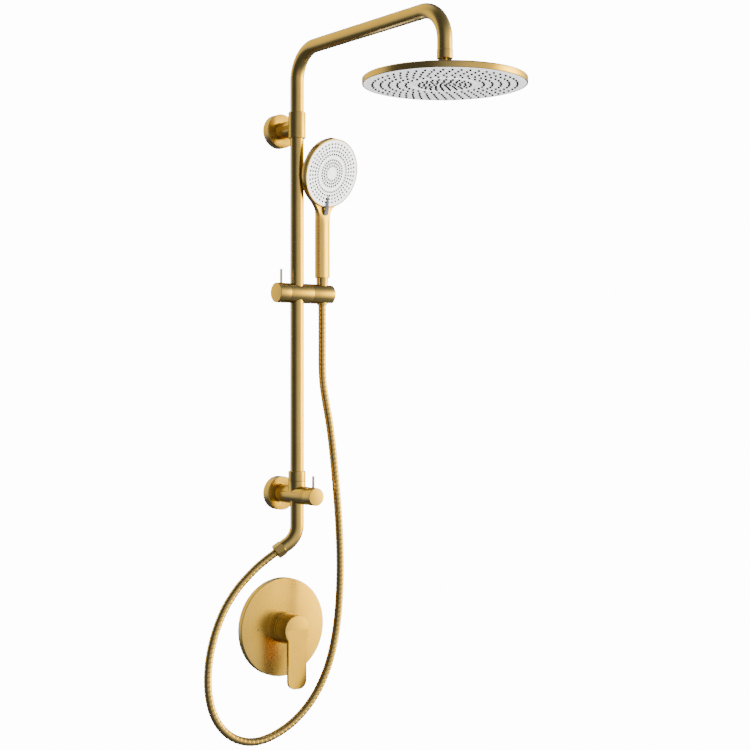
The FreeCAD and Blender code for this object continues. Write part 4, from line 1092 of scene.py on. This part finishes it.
def build_world(scene):
    """The studio as a world, whose light depends on the direction's parts towards the camera, to the
    right and up: a glow that grows to the right, a narrow strip there, a corner behind it, a patch
    behind at the left, and dark straight behind. In the metal, bright parts are mirrored warm and
    dim parts cool. The camera itself sees a plain bright backdrop."""
    strength = scene.shower_finish.light
    world = bpy.data.worlds.new("studio")
    scene.world = world
    graph = Graph(world)
    way = graph.node("TexCoord").outputs["Generated"]
    yaw = -CAMERA_YAW

    def part(axis):
        dot = graph.node("VectorMath", {"operation": "DOT_PRODUCT"}, {0: way, 1: axis})
        return Field(graph, dot.outputs["Value"])

    ahead = part((-math.sin(yaw), -math.cos(yaw), 0.0))
    right = part((math.cos(yaw), -math.sin(yaw), 0.0))
    up = part((0.0, 0.0, 1.0))
    level = up.step(-0.75, -0.05) * (1 - up.step(0.15, 0.85))
    glow = right.step(-0.5, 1.0) * GLOW * (0.1 + level * 0.9)
    window = up.step(-0.5, 0.1) * (1 - up.step(0.1, 0.6))
    strip = right.step(0.8, 0.98) * (1 - ahead.step(-0.15, 0.5)) * window * STRIP
    corner = right.step(0.5, 0.9) * (1 - ahead.step(-0.6, -0.15)) * level * CORNER
    behind = (1 - right.step(-0.6, 0.1)) * (1 - ahead.step(-0.35, 0.2)) * up.step(-0.5, 0.1)
    dark_end = ahead.step(-1.0, -0.75)
    light = (AMBIENT + dark_end * (glow + strip + corner + behind * BACK_LEFT)) * strength
    ray = graph.node("LightPath").outputs
    seen, mirrored = Field(graph, ray["Is Camera Ray"]), Field(graph, ray["Is Glossy Ray"])
    power = seen * BACKDROP + (1 - seen) * light
    tint = graph.mix(light.step(0.0, 2.2), (0.92, 1.05, 1.2, 1.0), (1.0, 0.78, 0.0, 1.0))
    tint = graph.mix(mirrored, (1.0, 1.0, 1.0, 1.0), tint)
    background = graph.node("Background", {}, {"Color": tint, "Strength": power})
    graph.node("OutputWorld", {}, {"Surface": background.outputs[0]})


def build_lights(scene):
    """Two soft fills for the white faces, kept out of the metal's reflections."""
    for name, place, target, power in (
        ("front_fill", (0.9, -2.4, 0.7), (0.05, -0.1, 0.5), 85.0),
        ("under_fill", (-0.5, -1.6, -0.7), (0.0, -0.45, 0.65), 95.0),
    ):
        lamp = bpy.data.lights.new(name, "AREA")
        lamp.shape, lamp.size = "SQUARE", 1.4
        lamp.energy = power * scene.shower_finish.light
        holder = placed(name, lamp)
        holder.location = place
        away = np.asarray(place) - np.asarray(target)
        flat = math.hypot(away[0], away[1])
        bearing = math.atan2(away[1], away[0])
        holder.rotation_euler = (math.atan2(flat, away[2]), 0, bearing + math.pi / 2)
        holder.visible_glossy = False


# ---- operators and panel
class Builder:
    """What the operators share: each names the function that builds its pieces."""

    def execute(self, context):
        self.build(context.scene)
        return {"FINISHED"}


class SHOWER_OT_stage(Builder, bpy.types.Operator):
    """Makes the camera, the floor and the light"""
    bl_idname = "shower.stage"
    bl_label = "Stage"
    build = staticmethod(build_stage)


class SHOWER_OT_hose(Builder, bpy.types.Operator):
    """Makes the hanging metal hose and its neck"""
    bl_idname = "shower.hose"
    bl_label = "Hose"
    build = staticmethod(build_hose)


class SHOWER_OT_column(Builder, bpy.types.Operator):
    """Makes the riser, its collar and the wall flanges"""
    bl_idname = "shower.column"
    bl_label = "Column"
    build = staticmethod(build_column)


class SHOWER_OT_diverter(Builder, bpy.types.Operator):
    """Makes the diverter body, ring, knob and pin"""
    bl_idname = "shower.diverter"
    bl_label = "Diverter"
    build = staticmethod(build_diverter)


class SHOWER_OT_outlet(Builder, bpy.types.Operator):
    """Makes the bent outlet and the hexagon nut"""
    bl_idname = "shower.outlet"
    bl_label = "Outlet"
    build = staticmethod(build_outlet)


class SHOWER_OT_upper_bracket(Builder, bpy.types.Operator):
    """Makes the upper bracket's stub and sleeve"""
    bl_idname = "shower.upper_bracket"
    bl_label = "Upper bracket"
    build = staticmethod(build_upper_bracket)


class SHOWER_OT_arm(Builder, bpy.types.Operator):
    """Makes the swivelling arm and its nut"""
    bl_idname = "shower.arm"
    bl_label = "Arm"
    build = staticmethod(build_arm)


class SHOWER_OT_rain_head(Builder, bpy.types.Operator):
    """Makes the rain head with its nozzles"""
    bl_idname = "shower.rain_head"
    bl_label = "Rain head"
    build = staticmethod(build_rain_head)


class SHOWER_OT_slider(Builder, bpy.types.Operator):
    """Makes the slider, its lock knob and the cradle"""
    bl_idname = "shower.slider"
    bl_label = "Slider"
    build = staticmethod(build_slider)


class SHOWER_OT_hand_shower(Builder, bpy.types.Operator):
    """Makes the hand shower with its ring, lever and nozzles"""
    bl_idname = "shower.hand_shower"
    bl_label = "Hand shower"
    build = staticmethod(build_hand_shower)


class SHOWER_OT_wall_valve(Builder, bpy.types.Operator):
    """Makes the wall valve's plate, sleeve and lever"""
    bl_idname = "shower.wall_valve"
    bl_label = "Wall valve"
    build = staticmethod(build_wall_valve)


class SHOWER_OT_inner(Builder, bpy.types.Operator):
    """Gives the inner pieces their finishes"""
    bl_idname = "shower.inner"
    bl_label = "Inner pieces"
    build = staticmethod(build_inner)


OPERATORS = tuple(Builder.__subclasses__())   # in the order above


class SHOWER_PT_panel(bpy.types.Panel):
    """Lists the sizes, the finishes and the pieces"""
    bl_idname = "SHOWER_PT_panel"
    bl_label = "Shower column"
    bl_space_type = "VIEW_3D"
    bl_region_type = "UI"
    bl_category = "Shower"

    def draw(self, context):
        for group in (context.scene.shower_sizes, context.scene.shower_finish):
            box = self.layout.box()
            for name in group.bl_rna.properties.keys():
                if name not in {"rna_type", "name"}:
                    box.prop(group, name)
        for operator in OPERATORS:
            self.layout.operator(operator.bl_idname)


CLASSES = (ShowerSizes, ShowerFinish, *OPERATORS, SHOWER_PT_panel)


def register():
    for entry in CLASSES:
        bpy.utils.register_class(entry)
    bpy.types.Scene.shower_sizes = PointerProperty(type=ShowerSizes)
    bpy.types.Scene.shower_finish = PointerProperty(type=ShowerFinish)


def unregister():
    del bpy.types.Scene.shower_finish
    del bpy.types.Scene.shower_sizes
    for entry in reversed(CLASSES):
        bpy.utils.unregister_class(entry)


def main():
    register()
    for operator in OPERATORS:
        group, name = operator.bl_idname.split(".")
        getattr(getattr(bpy.ops, group), name)()


if __name__ == "__main__":
    main()
